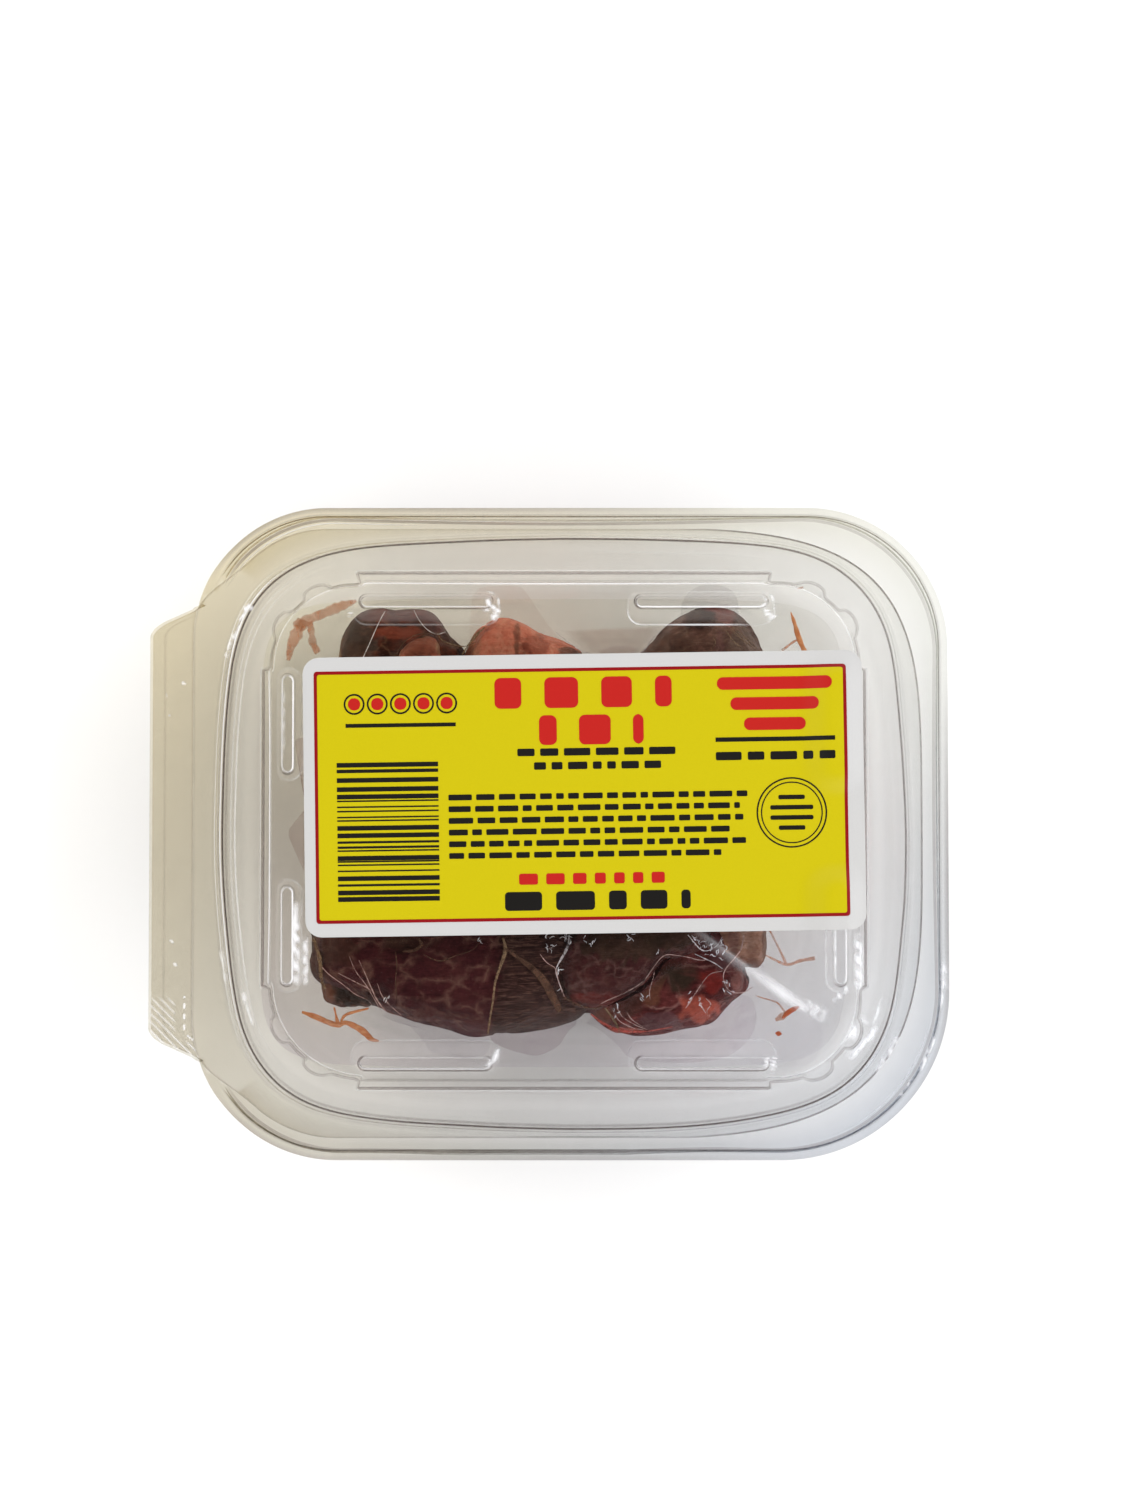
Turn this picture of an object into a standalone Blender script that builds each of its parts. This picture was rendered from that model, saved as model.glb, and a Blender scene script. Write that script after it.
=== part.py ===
"""Packed char siu pork: a shut clear clamshell with a label on its lid and a pouch of roast pork inside.

Metres, +Z up. The origin is the middle of the pack's footprint, on the surface that it stands on.
+X runs away from the tear strip, along the label's long side, and +Y is the label's top.
"""

import math

import bmesh
import bpy
import numpy as np

MM = 0.001

# Driving dimensions of the pack
PACK_LENGTH = 146.8 * MM          # along X, over the tear strip
PACK_WIDTH = 120.2 * MM           # along Y
STRIP_REACH = 8.0 * MM            # how far the tear strip stands out from the hinge line
FAR_RADII = (24.5 * MM, 26.0 * MM)    # of the outer rim's far corners, left and right
NEAR_RADII = (26.5 * MM, 31.0 * MM)   # of its near corners, left and right
SHEET = 0.5 * MM                  # thickness of the formed plastic
GAP = 0.3 * MM                    # left between pieces that touch
RIM_HEIGHT = 35.0 * MM            # top of the tray's flat rim
LID_RISE = 9.2 * MM               # from the lid's rim up to its panel
LUG_RISE = 1.5 * MM               # the stacking lugs above the lid's panel
AROUND = 72                       # points round each section

# Places that follow from them
HINGE_X = -PACK_LENGTH / 2 + STRIP_REACH
RIGHT_X = PACK_LENGTH / 2
BODY_X = 2.6 * MM                 # middle of the tray's mouth and of the lid's panel
REACH_LEFT = BODY_X - HINGE_X
REACH_RIGHT = RIGHT_X - BODY_X
REACH_SIDE = PACK_WIDTH / 2
LID_RIM_TOP = RIM_HEIGHT + GAP + SHEET
PANEL_TOP = LID_RIM_TOP + LID_RISE

# The guard ridge that runs round the lid's edge, as distances in from the outer rim
LIP_DROP = 0.8 * MM
RIDGE_RISE = 1.4 * MM
RIDGE_OUTER_FOOT = 1.5 * MM
RIDGE_OUTER_TOP = 1.9 * MM
RIDGE_INNER_TOP = 2.9 * MM
RIDGE_INNER_FOOT = 3.4 * MM
HINGE_HALF = 41.0 * MM            # half the length of the hinge, where the ridge stops
HINGE_EASE = 3.0 * MM             # run over which the ridge rises past each end of the hinge

# The mouth, a rectangle with bowed sides
MOUTH_HALF = (63.2 * MM, 54.0 * MM)
FAR_MOUTH_POWERS = (4.5, 4.4)     # how square its far corners are, left and right
NEAR_MOUTH_POWERS = (4.3, 3.8)
MOUTH_ROUND = 0.7 * MM
RAY_POWER = 4.2                   # draws the rays together at the corners
LID_EDGE_HALF = (65.8 * MM, 56.2 * MM)
FAR_EDGE_POWERS = (4.3, 4.2)
NEAR_EDGE_POWERS = (4.1, 3.7)
LID_EDGE_TURN = (-0.45, -0.1)     # cosines between which the edge leaves the ridge for its bowed line
LID_FOLD_EASE = 4.0 * MM

# The tear strip's slanted ends, how far it reaches past the hinge line, and its slot
STRIP_END_CUT = 4.8 * MM
STRIP_ROUND = 2.2 * MM
STRIP_ROUND_SHARE = (0.35, 0.55)
STRIP_UNDER = 4.0 * MM
SLOT_WALL = 1.6 * SHEET
CUT_PAST = 1.0 * MM               # how far cutters stand out past what they cut

# The tray below its mouth
TRAY_DRAFT = math.radians(5.0)
BASE_RADIUS = 7.0 * MM
FOOT_WIDTH = 6.0 * MM
BASE_RISE = 1.0 * MM

# The lid's shoulder and raised panel
BEAD_RISE = 3.4 * MM
BEAD_ROUND = 0.5 * MM
SHOULDER_RISE = 0.9 * MM
PANEL_HALF = (53.8 * MM, 45.4 * MM)
PANEL_RADIUS = 15.0 * MM
PANEL_SLOPE = 1.2 * MM            # run of the panel's side along its straight stretches
PANEL_SLOPE_CORNER = 0.5 * MM
PANEL_STRAIGHT = (36.1 * MM, 29.2 * MM)
PANEL_EASE = 3.0 * MM             # run over which the side changes from one slope to the other
PANEL_ROUND = 0.5 * MM

# Stacking lugs: half length, half width at the foot, and places from the panel's middle
LUG_FOOT_HALF = 2.5 * MM
LUG_SLOPE = 1.0 * MM
LONG_LUG_HALF = 13.3 * MM
SHORT_LUG_HALF = 10.0 * MM
LONG_LUG_PLACE = (25.0 * MM, 40.9 * MM)
SHORT_LUG_PLACE = (50.05 * MM, 19.2 * MM)
LUG_SINK = SHEET / 2              # how far the lugs start below the panel's top
CORE_SINK = 1.4 * SHEET
LUG_ARC = 5                       # segments in each rounded end

# The label on the lid
LABEL_SIZE = (101.6 * MM, 50.8 * MM)
LABEL_PLACE = (6.3 * MM, 6.6 * MM)
LABEL_TURN = math.radians(0.85)
LABEL_RADIUS = 3.0 * MM
LABEL_THICKNESS = 0.2 * MM
LABEL_RIDE = 17.0 * MM            # length of the right end that rides over the lugs
LABEL_RIDE_LINES = 12
LABEL_CORNER_LINES = 4
LABEL_ROW_LINES = 21
LIFT_CLEAR = 0.2 * MM             # how far past a lug the label is at its full height
LIFT_END = 2.6 * MM

# The pouch of pork
POUCH_HALF = (54.5 * MM, 43.6 * MM)
POUCH_POWER = 8.0
POUCH_PLACE = (0.6 * MM, 0.6 * MM)
POUCH_AROUND = 56
SKIRT_HEIGHT = 22.0 * MM
SKIRT_THICKNESS = 1.0 * MM
CHUNK_AROUND = 20
CHUNK_RINGS = 10
CHUNK_PLAN_SQUARE = 0.70          # 1 gives an ellipsoid, less gives squarer sides
CHUNK_SIDE_SQUARE = 0.55

# Chunks of pork that swell the pouch, in mm: X, Y, half length, half width, turn in degrees, bottom, top
CHUNKS = {
    "upper_left": (-28.5, 28.0, 10.5, 13.5, 8, 3.0, 37.0),
    "upper_nub": (-22.5, 30.5, 5.0, 6.5, 20, 14.0, 36.5),
    "upper_middle": (-5.0, 25.5, 11.5, 14.0, -10, 2.8, 38.0),
    "upper_right": (27.8, 27.0, 11.5, 14.5, -6, 3.2, 37.5),
    "middle_left": (-24.0, 3.0, 19.0, 17.5, 5, 2.4, 39.5),
    "middle": (3.5, 4.0, 17.5, 17.5, 0, 2.4, 40.0),
    "middle_right": (25.5, 3.0, 14.0, 18.0, 0, 2.4, 39.5),
    "lower_left": (-20.5, -19.5, 23.0, 17.0, -8, 2.6, 39.5),
    "lower_knob": (-37.4, -28.4, 5.4, 4.6, 0, 12.0, 31.0),
    "lower_lobe": (14.5, -18.5, 13.8, 14.0, 6, 3.0, 40.5),
    "lower_right": (22.5, -25.5, 15.0, 11.8, 12, 2.6, 37.0),
    "right_end": (34.0, -13.5, 5.6, 11.5, 0, 6.0, 35.0),
}


def clear_scene():
    """Remove whatever objects the file opened with."""
    for item in list(bpy.data.objects):
        bpy.data.objects.remove(item, do_unlink=True)


def new_collection(name):
    group = bpy.data.collections.new(name)
    bpy.context.scene.collection.children.link(group)
    return group


def new_material(name, color, roughness, alpha=1.0, transmission=0.0):
    """A Principled finish with one colour, roughness and clearness; nothing here is metal."""
    material = bpy.data.materials.new(name)
    material.use_nodes = True
    shader = material.node_tree.nodes["Principled BSDF"]
    shader.inputs["Base Color"].default_value = (*color, 1.0)
    shader.inputs["Roughness"].default_value = roughness
    shader.inputs["Metallic"].default_value = 0.0
    shader.inputs["Alpha"].default_value = alpha
    shader.inputs["Transmission Weight"].default_value = transmission
    return material


def new_object(name, bm, collection, material=None):
    mesh = bpy.data.meshes.new(name)
    bmesh.ops.recalc_face_normals(bm, faces=bm.faces)
    bm.to_mesh(mesh)
    bm.free()
    item = bpy.data.objects.new(name, mesh)
    collection.objects.link(item)
    if material is not None:
        mesh.materials.append(material)
    return item


def as_cutter(item):
    item.hide_render = True
    item.display_type = "WIRE"
    return item


def smooth_step(value, low, high):
    """0 below low, 1 above high, and a smooth rise between them."""
    part = np.clip((value - low) / (high - low), 0.0, 1.0)
    return part * part * (3.0 - 2.0 * part)


def ray_angles(count):
    """Angles of the rays from the middle, closer together where the corners turn."""
    turn = np.arange(count) * 2.0 * np.pi / count
    x = np.sign(np.cos(turn)) * np.abs(np.cos(turn)) ** (2.0 / RAY_POWER) * MOUTH_HALF[0]
    y = np.sign(np.sin(turn)) * np.abs(np.sin(turn)) ** (2.0 / RAY_POWER) * MOUTH_HALF[1]
    return np.arctan2(y, x)


def by_corner(angles, far, near):
    """The value of each ray's quarter, from pairs for the left and the right."""
    side = (np.cos(angles) > 0).astype(int)
    return np.where(np.sin(angles) > 0, np.take(far, side), np.take(near, side))


def bowed_reach(angles, half, power):
    """Distance from the middle to a superellipse along each ray."""
    across = np.abs(np.cos(angles) / half[0]) ** power
    along = np.abs(np.sin(angles) / half[1]) ** power
    return (across + along) ** (-1.0 / power)


def mouth_reach(angles, inset):
    """The tray's bowed mouth, moved in by inset."""
    power = by_corner(angles, FAR_MOUTH_POWERS, NEAR_MOUTH_POWERS)
    return bowed_reach(angles, (MOUTH_HALF[0] - inset, MOUTH_HALF[1] - inset), power)


def rounded_reach(angles, left, right, side, radius):
    """Distance from the middle to a rounded rectangle along each ray."""
    cosine = np.cos(angles)
    sine = np.sin(angles)
    reach_x = np.where(cosine > 0, right, left)
    flat = np.minimum(reach_x / np.maximum(np.abs(cosine), 1e-9), side / np.maximum(np.abs(sine), 1e-9))
    centre_x = reach_x - radius
    centre_y = side - radius
    in_corner = (flat * np.abs(cosine) > centre_x) & (flat * np.abs(sine) > centre_y)
    toward = np.abs(cosine) * centre_x + np.abs(sine) * centre_y
    inside = radius ** 2 - (centre_x ** 2 + centre_y ** 2 - toward ** 2)
    round_reach = toward + np.sqrt(np.maximum(inside, 0.0))
    return np.where(in_corner, round_reach, flat)


def section(angles, reach, height):
    """One ring of points at the given reach and height round the mouth's middle."""
    height = np.broadcast_to(height, reach.shape)
    return np.column_stack((BODY_X + reach * np.cos(angles), reach * np.sin(angles), height))


def rim_reach(angles, inset):
    """The outer rim, moved in by inset."""
    radius = by_corner(angles, FAR_RADII, NEAR_RADII) - inset
    return rounded_reach(angles, REACH_LEFT - inset, REACH_RIGHT - inset, REACH_SIDE - inset, radius)


def hinge_share(angles):
    """1 along the hinge, where the rim is flat, and 0 on the rest of the rim."""
    reach = rim_reach(angles, 0.0)
    y = np.abs(reach * np.sin(angles))
    near = 1.0 - smooth_step(y, HINGE_HALF, HINGE_HALF + HINGE_EASE)
    return np.where(np.cos(angles) < 0, near, 0.0)


def add_ring(bm, points):
    return [bm.verts.new(point) for point in points]


def bridge(bm, first, second):
    """Quads between two rings of the same count."""
    count = len(first)
    for k in range(count):
        n = (k + 1) % count
        bm.faces.new((first[k], first[n], second[n], second[k]))


def formed_sheet(name, rings, collection, material):
    """An open surface through the rings, shut by a flat panel inside the last, with the sheet's thickness."""
    bm = bmesh.new()
    loops = [add_ring(bm, ring) for ring in rings]
    for outer, inner in zip(loops, loops[1:]):
        bridge(bm, outer, inner)
    bm.faces.new(loops[-1])
    item = new_object(name, bm, collection, material)
    up = sum(face.normal.z * face.area for face in item.data.polygons)
    if up < 0:
        item.data.flip_normals()
    shell = item.modifiers.new("sheet", "SOLIDIFY")
    shell.thickness = SHEET
    shell.offset = -1.0
    shell.use_even_offset = True
    return item


def make_tray(collection, material):
    """Rim with its guard ridge, bowed mouth, drafted walls, rounded foot and a base set up a little."""
    angles = ray_angles(AROUND)
    hinge = hinge_share(angles)
    ridge = RIM_HEIGHT + RIDGE_RISE * (1.0 - hinge)
    lip = RIM_HEIGHT - LIP_DROP * (1.0 - hinge)
    rings = [
        section(angles, rim_reach(angles, 0.0), lip),
        section(angles, rim_reach(angles, RIDGE_OUTER_FOOT), RIM_HEIGHT),
        section(angles, rim_reach(angles, RIDGE_OUTER_TOP), ridge),
        section(angles, rim_reach(angles, RIDGE_INNER_TOP), ridge),
        section(angles, rim_reach(angles, RIDGE_INNER_FOOT), RIM_HEIGHT),
    ]
    rings.append(section(angles, mouth_reach(angles, 0.0), RIM_HEIGHT))
    rings.append(section(angles, mouth_reach(angles, MOUTH_ROUND), RIM_HEIGHT - MOUTH_ROUND))
    fillet_top = BASE_RADIUS + SHEET
    wall_in = MOUTH_ROUND + (RIM_HEIGHT - fillet_top) * math.tan(TRAY_DRAFT)
    half_way = (MOUTH_ROUND + wall_in) / 2
    rings.append(section(angles, mouth_reach(angles, half_way), (RIM_HEIGHT + fillet_top) / 2))
    for degrees in (0, 30, 60, 90):
        bend = math.radians(degrees)
        inset = wall_in + BASE_RADIUS * (1.0 - math.cos(bend))
        rings.append(section(angles, mouth_reach(angles, inset), fillet_top - BASE_RADIUS * math.sin(bend)))
    foot_in = wall_in + BASE_RADIUS + FOOT_WIDTH
    rings.append(section(angles, mouth_reach(angles, foot_in), SHEET))
    rings.append(section(angles, mouth_reach(angles, foot_in + BASE_RISE), SHEET + BASE_RISE))
    return formed_sheet("tray", rings, collection, material)


def lid_edge_reach(angles):
    """Bowed edge on the right, the guard ridge's inside on the left, out to the fold along the hinge."""
    inside_ridge = rim_reach(angles, RIDGE_INNER_FOOT + SHEET + GAP)
    bowed = bowed_reach(angles, LID_EDGE_HALF, by_corner(angles, FAR_EDGE_POWERS, NEAR_EDGE_POWERS))
    bowed = np.minimum(bowed, inside_ridge)
    mix = smooth_step(np.cos(angles), *LID_EDGE_TURN)
    reach = inside_ridge * (1.0 - mix) + bowed * mix
    y = np.abs(rim_reach(angles, 0.0) * np.sin(angles))
    fold = (1.0 - smooth_step(y, HINGE_HALF - LID_FOLD_EASE, HINGE_HALF)) * (np.cos(angles) < 0)
    return np.minimum(reach * (1.0 - fold) + rim_reach(angles, 0.0) * fold, rim_reach(angles, 0.0))


def panel_slope(angles):
    """Run of the panel's side: wide along the straight stretches and narrow round the corners."""
    reach = rounded_reach(angles, PANEL_HALF[0], PANEL_HALF[0], PANEL_HALF[1], PANEL_RADIUS)
    x = np.abs(reach * np.cos(angles))
    y = np.abs(reach * np.sin(angles))
    corner = smooth_step(x, PANEL_STRAIGHT[0], PANEL_STRAIGHT[0] + PANEL_EASE)
    corner = corner * smooth_step(y, PANEL_STRAIGHT[1], PANEL_STRAIGHT[1] + PANEL_EASE)
    return PANEL_SLOPE + (PANEL_SLOPE_CORNER - PANEL_SLOPE) * corner


def panel_reach(angles, inset):
    return rounded_reach(angles, PANEL_HALF[0] - inset, PANEL_HALF[0] - inset, PANEL_HALF[1] - inset,
                         PANEL_RADIUS - inset)


def make_lid(collection, cutters, material):
    """Flat edge, steep bead over the mouth, shoulder, raised panel and its hollow stacking lugs."""
    angles = ray_angles(AROUND)
    bead_top = LID_RIM_TOP + BEAD_RISE
    shoulder = bead_top + SHOULDER_RISE
    rings = [
        section(angles, lid_edge_reach(angles), LID_RIM_TOP),
        section(angles, mouth_reach(angles, -BEAD_ROUND), LID_RIM_TOP),
        section(angles, mouth_reach(angles, 0.0), LID_RIM_TOP + BEAD_ROUND),
        section(angles, mouth_reach(angles, BEAD_ROUND), bead_top - BEAD_ROUND),
        section(angles, mouth_reach(angles, 2.5 * BEAD_ROUND), bead_top),
        section(angles, panel_reach(angles, 0.0) + panel_slope(angles), shoulder),
        section(angles, panel_reach(angles, 0.0), PANEL_TOP - PANEL_ROUND),
        section(angles, panel_reach(angles, PANEL_ROUND), PANEL_TOP),
    ]
    lid = formed_sheet("lid", rings, collection, material)
    lugs = stacking_lugs("lug_solids", 0.0, LUG_SINK, cutters)
    cores = stacking_lugs("lug_cores", SHEET, CORE_SINK, cutters)
    for item, operation in ((lugs, "UNION"), (cores, "DIFFERENCE")):
        cut = lid.modifiers.new(item.name, "BOOLEAN")
        cut.operation = operation
        cut.solver = "EXACT"
        cut.object = item
    return lid


def stadium(half_length, half_width, centre, along_x):
    """Outline with two straight sides and rounded ends, as rings of X and Y."""
    straight = half_length - half_width
    ends = []
    for side in (1, -1):
        for k in range(LUG_ARC + 1):
            bend = math.pi * (k / LUG_ARC - 0.5)
            ends.append((side * (straight + half_width * math.cos(bend)), side * half_width * math.sin(bend)))
    if not along_x:
        ends = [(-y, x) for x, y in ends]
    return [(BODY_X + centre[0] + x, centre[1] + y) for x, y in ends]


def lug_places():
    """Half length, place and direction of the eight lugs, two on each side of the panel."""
    places = []
    for x_side in (-1, 1):
        for y_side in (-1, 1):
            places.append((LONG_LUG_HALF, (x_side * LONG_LUG_PLACE[0], y_side * LONG_LUG_PLACE[1]), True))
            places.append((SHORT_LUG_HALF, (x_side * SHORT_LUG_PLACE[0], y_side * SHORT_LUG_PLACE[1]), False))
    return places


def stacking_lugs(name, inset, sink, collection):
    """Eight tapered stadiums that start sink below the panel and end inset below the lugs' tops."""
    bm = bmesh.new()
    for half_length, centre, along_x in lug_places():
        foot = stadium(half_length - inset, LUG_FOOT_HALF - inset, centre, along_x)
        top_half = LUG_FOOT_HALF - LUG_SLOPE - inset
        top = stadium(half_length - LUG_SLOPE - inset, top_half, centre, along_x)
        low = add_ring(bm, [(x, y, PANEL_TOP - sink) for x, y in foot])
        high = add_ring(bm, [(x, y, PANEL_TOP + LUG_RISE - inset) for x, y in top])
        bridge(bm, low, high)
        bm.faces.new(low)
        bm.faces.new(high)
    return as_cutter(new_object(name, bm, collection))


def make_tear_strip(collection, cutters, material):
    """The folded strip along the hinge: two leaves joined at the outer fold, with slanted ends."""
    outer_x = -PACK_LENGTH / 2
    half = HINGE_HALF - STRIP_END_CUT
    inner_x = HINGE_X + STRIP_UNDER
    corner = [
        (outer_x, half),
        (outer_x + STRIP_ROUND * STRIP_ROUND_SHARE[0], half + STRIP_ROUND * STRIP_ROUND_SHARE[1]),
        (outer_x + STRIP_ROUND, half + STRIP_ROUND),
        (HINGE_X, HINGE_HALF),
        (inner_x, HINGE_HALF),
    ]
    outline = corner + [(x, -y) for x, y in reversed(corner)]
    low = RIM_HEIGHT - SHEET
    bm = bmesh.new()
    bottom = add_ring(bm, [(x, y, low) for x, y in outline])
    top = add_ring(bm, [(x, y, LID_RIM_TOP) for x, y in outline])
    bridge(bm, bottom, top)
    bm.faces.new(bottom)
    bm.faces.new(top)
    strip = new_object("tear_strip", bm, collection, material)

    bm = bmesh.new()
    angles = ray_angles(AROUND * 2)
    keep_off = rim_reach(angles, -GAP)
    bottom = add_ring(bm, section(angles, keep_off, low - CUT_PAST))
    top = add_ring(bm, section(angles, keep_off, LID_RIM_TOP + CUT_PAST))
    bridge(bm, bottom, top)
    bm.faces.new(bottom)
    bm.faces.new(top)
    body_room = as_cutter(new_object("body_room", bm, cutters))

    bm = bmesh.new()
    bmesh.ops.create_cube(bm, size=1.0)
    slot_x0 = outer_x + SLOT_WALL
    slot_x1 = inner_x + CUT_PAST
    bmesh.ops.scale(bm, vec=(slot_x1 - slot_x0, PACK_WIDTH, GAP), verts=bm.verts)
    bmesh.ops.translate(bm, vec=((slot_x0 + slot_x1) / 2, 0.0, RIM_HEIGHT + GAP / 2), verts=bm.verts)
    fold_slot = as_cutter(new_object("fold_slot", bm, cutters))
    for cutter in (body_room, fold_slot):
        cut = strip.modifiers.new(cutter.name, "BOOLEAN")
        cut.operation = "DIFFERENCE"
        cut.solver = "EXACT"
        cut.object = cutter
    return strip


def lug_lift(x, y):
    """How far the two right-hand lugs lift the label at each point: all of it a little past each lug."""
    lift = np.zeros_like(x)
    straight = SHORT_LUG_HALF - LUG_FOOT_HALF
    for side in (-1, 1):
        along = np.abs(y - side * SHORT_LUG_PLACE[1])
        across = x - BODY_X - SHORT_LUG_PLACE[0]
        distance = np.hypot(np.maximum(along - straight, 0.0), across)
        rise = 1.0 - smooth_step(distance, LUG_FOOT_HALF + LIFT_CLEAR, LUG_FOOT_HALF + LIFT_END)
        lift = np.maximum(lift, LUG_RISE * rise)
    return lift


def label_columns():
    """Lines across the label: close in the rounded corners and where its right end rides over the lugs."""
    half = LABEL_SIZE[0] / 2
    left = -half + np.linspace(0.0, LABEL_RADIUS, LABEL_CORNER_LINES)
    right = np.linspace(half - LABEL_RIDE, half, LABEL_RIDE_LINES)
    return np.concatenate((left, (0.0,), right))


def label_rows():
    """Lines along the label: close in its rounded corners and even between them."""
    half = LABEL_SIZE[1] / 2
    corner = np.linspace(0.0, LABEL_RADIUS, LABEL_CORNER_LINES)
    middle = np.linspace(-half + LABEL_RADIUS, half - LABEL_RADIUS, LABEL_ROW_LINES)[1:-1]
    return np.concatenate((-half + corner, middle, half - corner[::-1]))


def make_label(collection, material):
    """A thin rounded sheet on the panel that rides up over the lugs at its right end."""
    half_x = LABEL_SIZE[0] / 2
    half_y = LABEL_SIZE[1] / 2
    columns = label_columns()
    rows = label_rows()
    x, y = np.meshgrid(columns, rows, indexing="ij")
    corner_x = np.maximum(np.abs(x) - (half_x - LABEL_RADIUS), 0.0)
    corner_y = np.maximum(np.abs(y) - (half_y - LABEL_RADIUS), 0.0)
    far = np.maximum(np.hypot(corner_x, corner_y), 1e-9)
    shrink = np.maximum(corner_x, corner_y) / far
    x = np.where(corner_x * corner_y > 0, np.sign(x) * (half_x - LABEL_RADIUS + corner_x * shrink), x)
    y = np.where(corner_x * corner_y > 0, np.sign(y) * (half_y - LABEL_RADIUS + corner_y * shrink), y)
    place_x = LABEL_PLACE[0] + x * math.cos(LABEL_TURN) - y * math.sin(LABEL_TURN)
    place_y = LABEL_PLACE[1] + x * math.sin(LABEL_TURN) + y * math.cos(LABEL_TURN)
    place_z = PANEL_TOP + GAP + lug_lift(place_x, place_y)
    bm = bmesh.new()
    bmesh.ops.create_grid(bm, x_segments=len(columns) - 1, y_segments=len(rows) - 1, size=1.0)
    for vert in bm.verts:
        column = round((vert.co.x + 1.0) / 2.0 * (len(columns) - 1))
        row = round((vert.co.y + 1.0) / 2.0 * (len(rows) - 1))
        vert.co = (place_x[column, row], place_y[column, row], place_z[column, row])
    label = new_object("label", bm, collection, material)
    if label.data.polygons[0].normal.z < 0:
        label.data.flip_normals()
    shell = label.modifiers.new("paper", "SOLIDIFY")
    shell.thickness = LABEL_THICKNESS
    shell.offset = 1.0
    return label


def squared(value, power):
    """A sine or cosine with its shoulders pushed out."""
    return math.copysign(abs(value) ** power, value)


def make_chunk(name, place, collection):
    """A sphere pulled into a rounded block of pork that stands from its bottom to its top."""
    x, y, half_length, half_width = (value * MM for value in place[:4])
    turn = math.radians(place[4])
    bottom, top = (value * MM for value in place[5:])
    bm = bmesh.new()
    bmesh.ops.create_uvsphere(bm, u_segments=CHUNK_AROUND, v_segments=CHUNK_RINGS, radius=1.0)
    for vert in bm.verts:
        flat = max(math.hypot(vert.co.x, vert.co.y), 1e-9)
        reach = squared(flat, CHUNK_SIDE_SQUARE)
        along = half_length * reach * squared(vert.co.x / flat, CHUNK_PLAN_SQUARE)
        across = half_width * reach * squared(vert.co.y / flat, CHUNK_PLAN_SQUARE)
        vert.co = (
            x + along * math.cos(turn) - across * math.sin(turn),
            y + along * math.sin(turn) + across * math.cos(turn),
            (top + bottom) / 2 + (top - bottom) / 2 * squared(vert.co.z, CHUNK_SIDE_SQUARE),
        )
    bmesh.ops.remove_doubles(bm, verts=bm.verts, dist=1e-6)
    return as_cutter(new_object(name, bm, collection))


def make_pouch(collection, cutters, material):
    """A vacuum pouch: the film's flat skirt, with every chunk that it is drawn down on joined to it."""
    angles = np.arange(POUCH_AROUND) * 2.0 * np.pi / POUCH_AROUND
    reach = bowed_reach(angles, POUCH_HALF, POUCH_POWER)
    bm = bmesh.new()
    rings = []
    for height in (SKIRT_HEIGHT - SKIRT_THICKNESS / 2, SKIRT_HEIGHT + SKIRT_THICKNESS / 2):
        x = POUCH_PLACE[0] + reach * np.cos(angles)
        y = POUCH_PLACE[1] + reach * np.sin(angles)
        rings.append(add_ring(bm, np.column_stack((x, y, np.full_like(x, height)))))
        bm.faces.new(rings[-1])
    bridge(bm, rings[0], rings[1])
    pouch = new_object("pouch", bm, collection, material)
    chunks = bpy.data.collections.new("pork_chunks")
    cutters.children.link(chunks)
    for name, place in CHUNKS.items():
        make_chunk("chunk_" + name, place, chunks)
    join = pouch.modifiers.new("chunks", "BOOLEAN")
    join.operation = "UNION"
    join.solver = "EXACT"
    join.operand_type = "COLLECTION"
    join.collection = chunks
    return pouch


def build():
    clear_scene()
    pack = new_collection("packed_char_siu_pork")
    cutters = new_collection("cutters")
    plastic = new_material("clear_plastic", (0.86, 0.87, 0.84), 0.06, alpha=0.3, transmission=0.9)
    paper = new_material("label_paper", (0.80, 0.66, 0.0), 0.35)
    pork = new_material("pork_in_film", (0.20, 0.045, 0.035), 0.2)
    make_tray(pack, plastic)
    make_lid(pack, cutters, plastic)
    make_tear_strip(pack, cutters, plastic)
    make_label(pack, paper)
    make_pouch(pack, cutters, pork)


build()
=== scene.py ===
import math
from functools import partial

import bpy
import numpy as np
from bpy.props import FloatProperty, FloatVectorProperty, IntProperty, PointerProperty
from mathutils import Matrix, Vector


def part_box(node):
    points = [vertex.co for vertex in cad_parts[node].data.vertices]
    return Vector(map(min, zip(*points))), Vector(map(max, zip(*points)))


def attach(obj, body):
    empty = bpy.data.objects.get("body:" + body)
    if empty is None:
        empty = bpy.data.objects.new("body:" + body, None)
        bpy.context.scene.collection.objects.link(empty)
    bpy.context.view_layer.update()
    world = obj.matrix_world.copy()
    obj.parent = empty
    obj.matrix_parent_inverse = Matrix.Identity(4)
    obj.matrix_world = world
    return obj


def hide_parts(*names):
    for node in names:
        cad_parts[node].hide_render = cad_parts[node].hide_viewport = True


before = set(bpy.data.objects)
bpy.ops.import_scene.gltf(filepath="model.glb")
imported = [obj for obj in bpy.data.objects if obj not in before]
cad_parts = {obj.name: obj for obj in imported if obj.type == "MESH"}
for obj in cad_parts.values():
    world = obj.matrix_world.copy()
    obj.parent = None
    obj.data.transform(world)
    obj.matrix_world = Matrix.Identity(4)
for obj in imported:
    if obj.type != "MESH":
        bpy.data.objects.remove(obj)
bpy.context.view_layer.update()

bl_info = {
    "name": "Packed char siu pork",
    "version": (1, 0, 0),
    "blender": (4, 5, 0),
    "location": "View3D > Sidebar > Pork Pack",
    "description": "Dresses a shut clear pack of char siu pork: plastic, label, film, pork and juice",
    "category": "Object",
}

MM = 0.001
TRAY_LOW, TRAY_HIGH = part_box("tray")
LID_LOW, LID_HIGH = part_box("lid")
STRIP_LOW, STRIP_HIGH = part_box("tear_strip")
POUCH_LOW, POUCH_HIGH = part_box("pouch")

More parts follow.
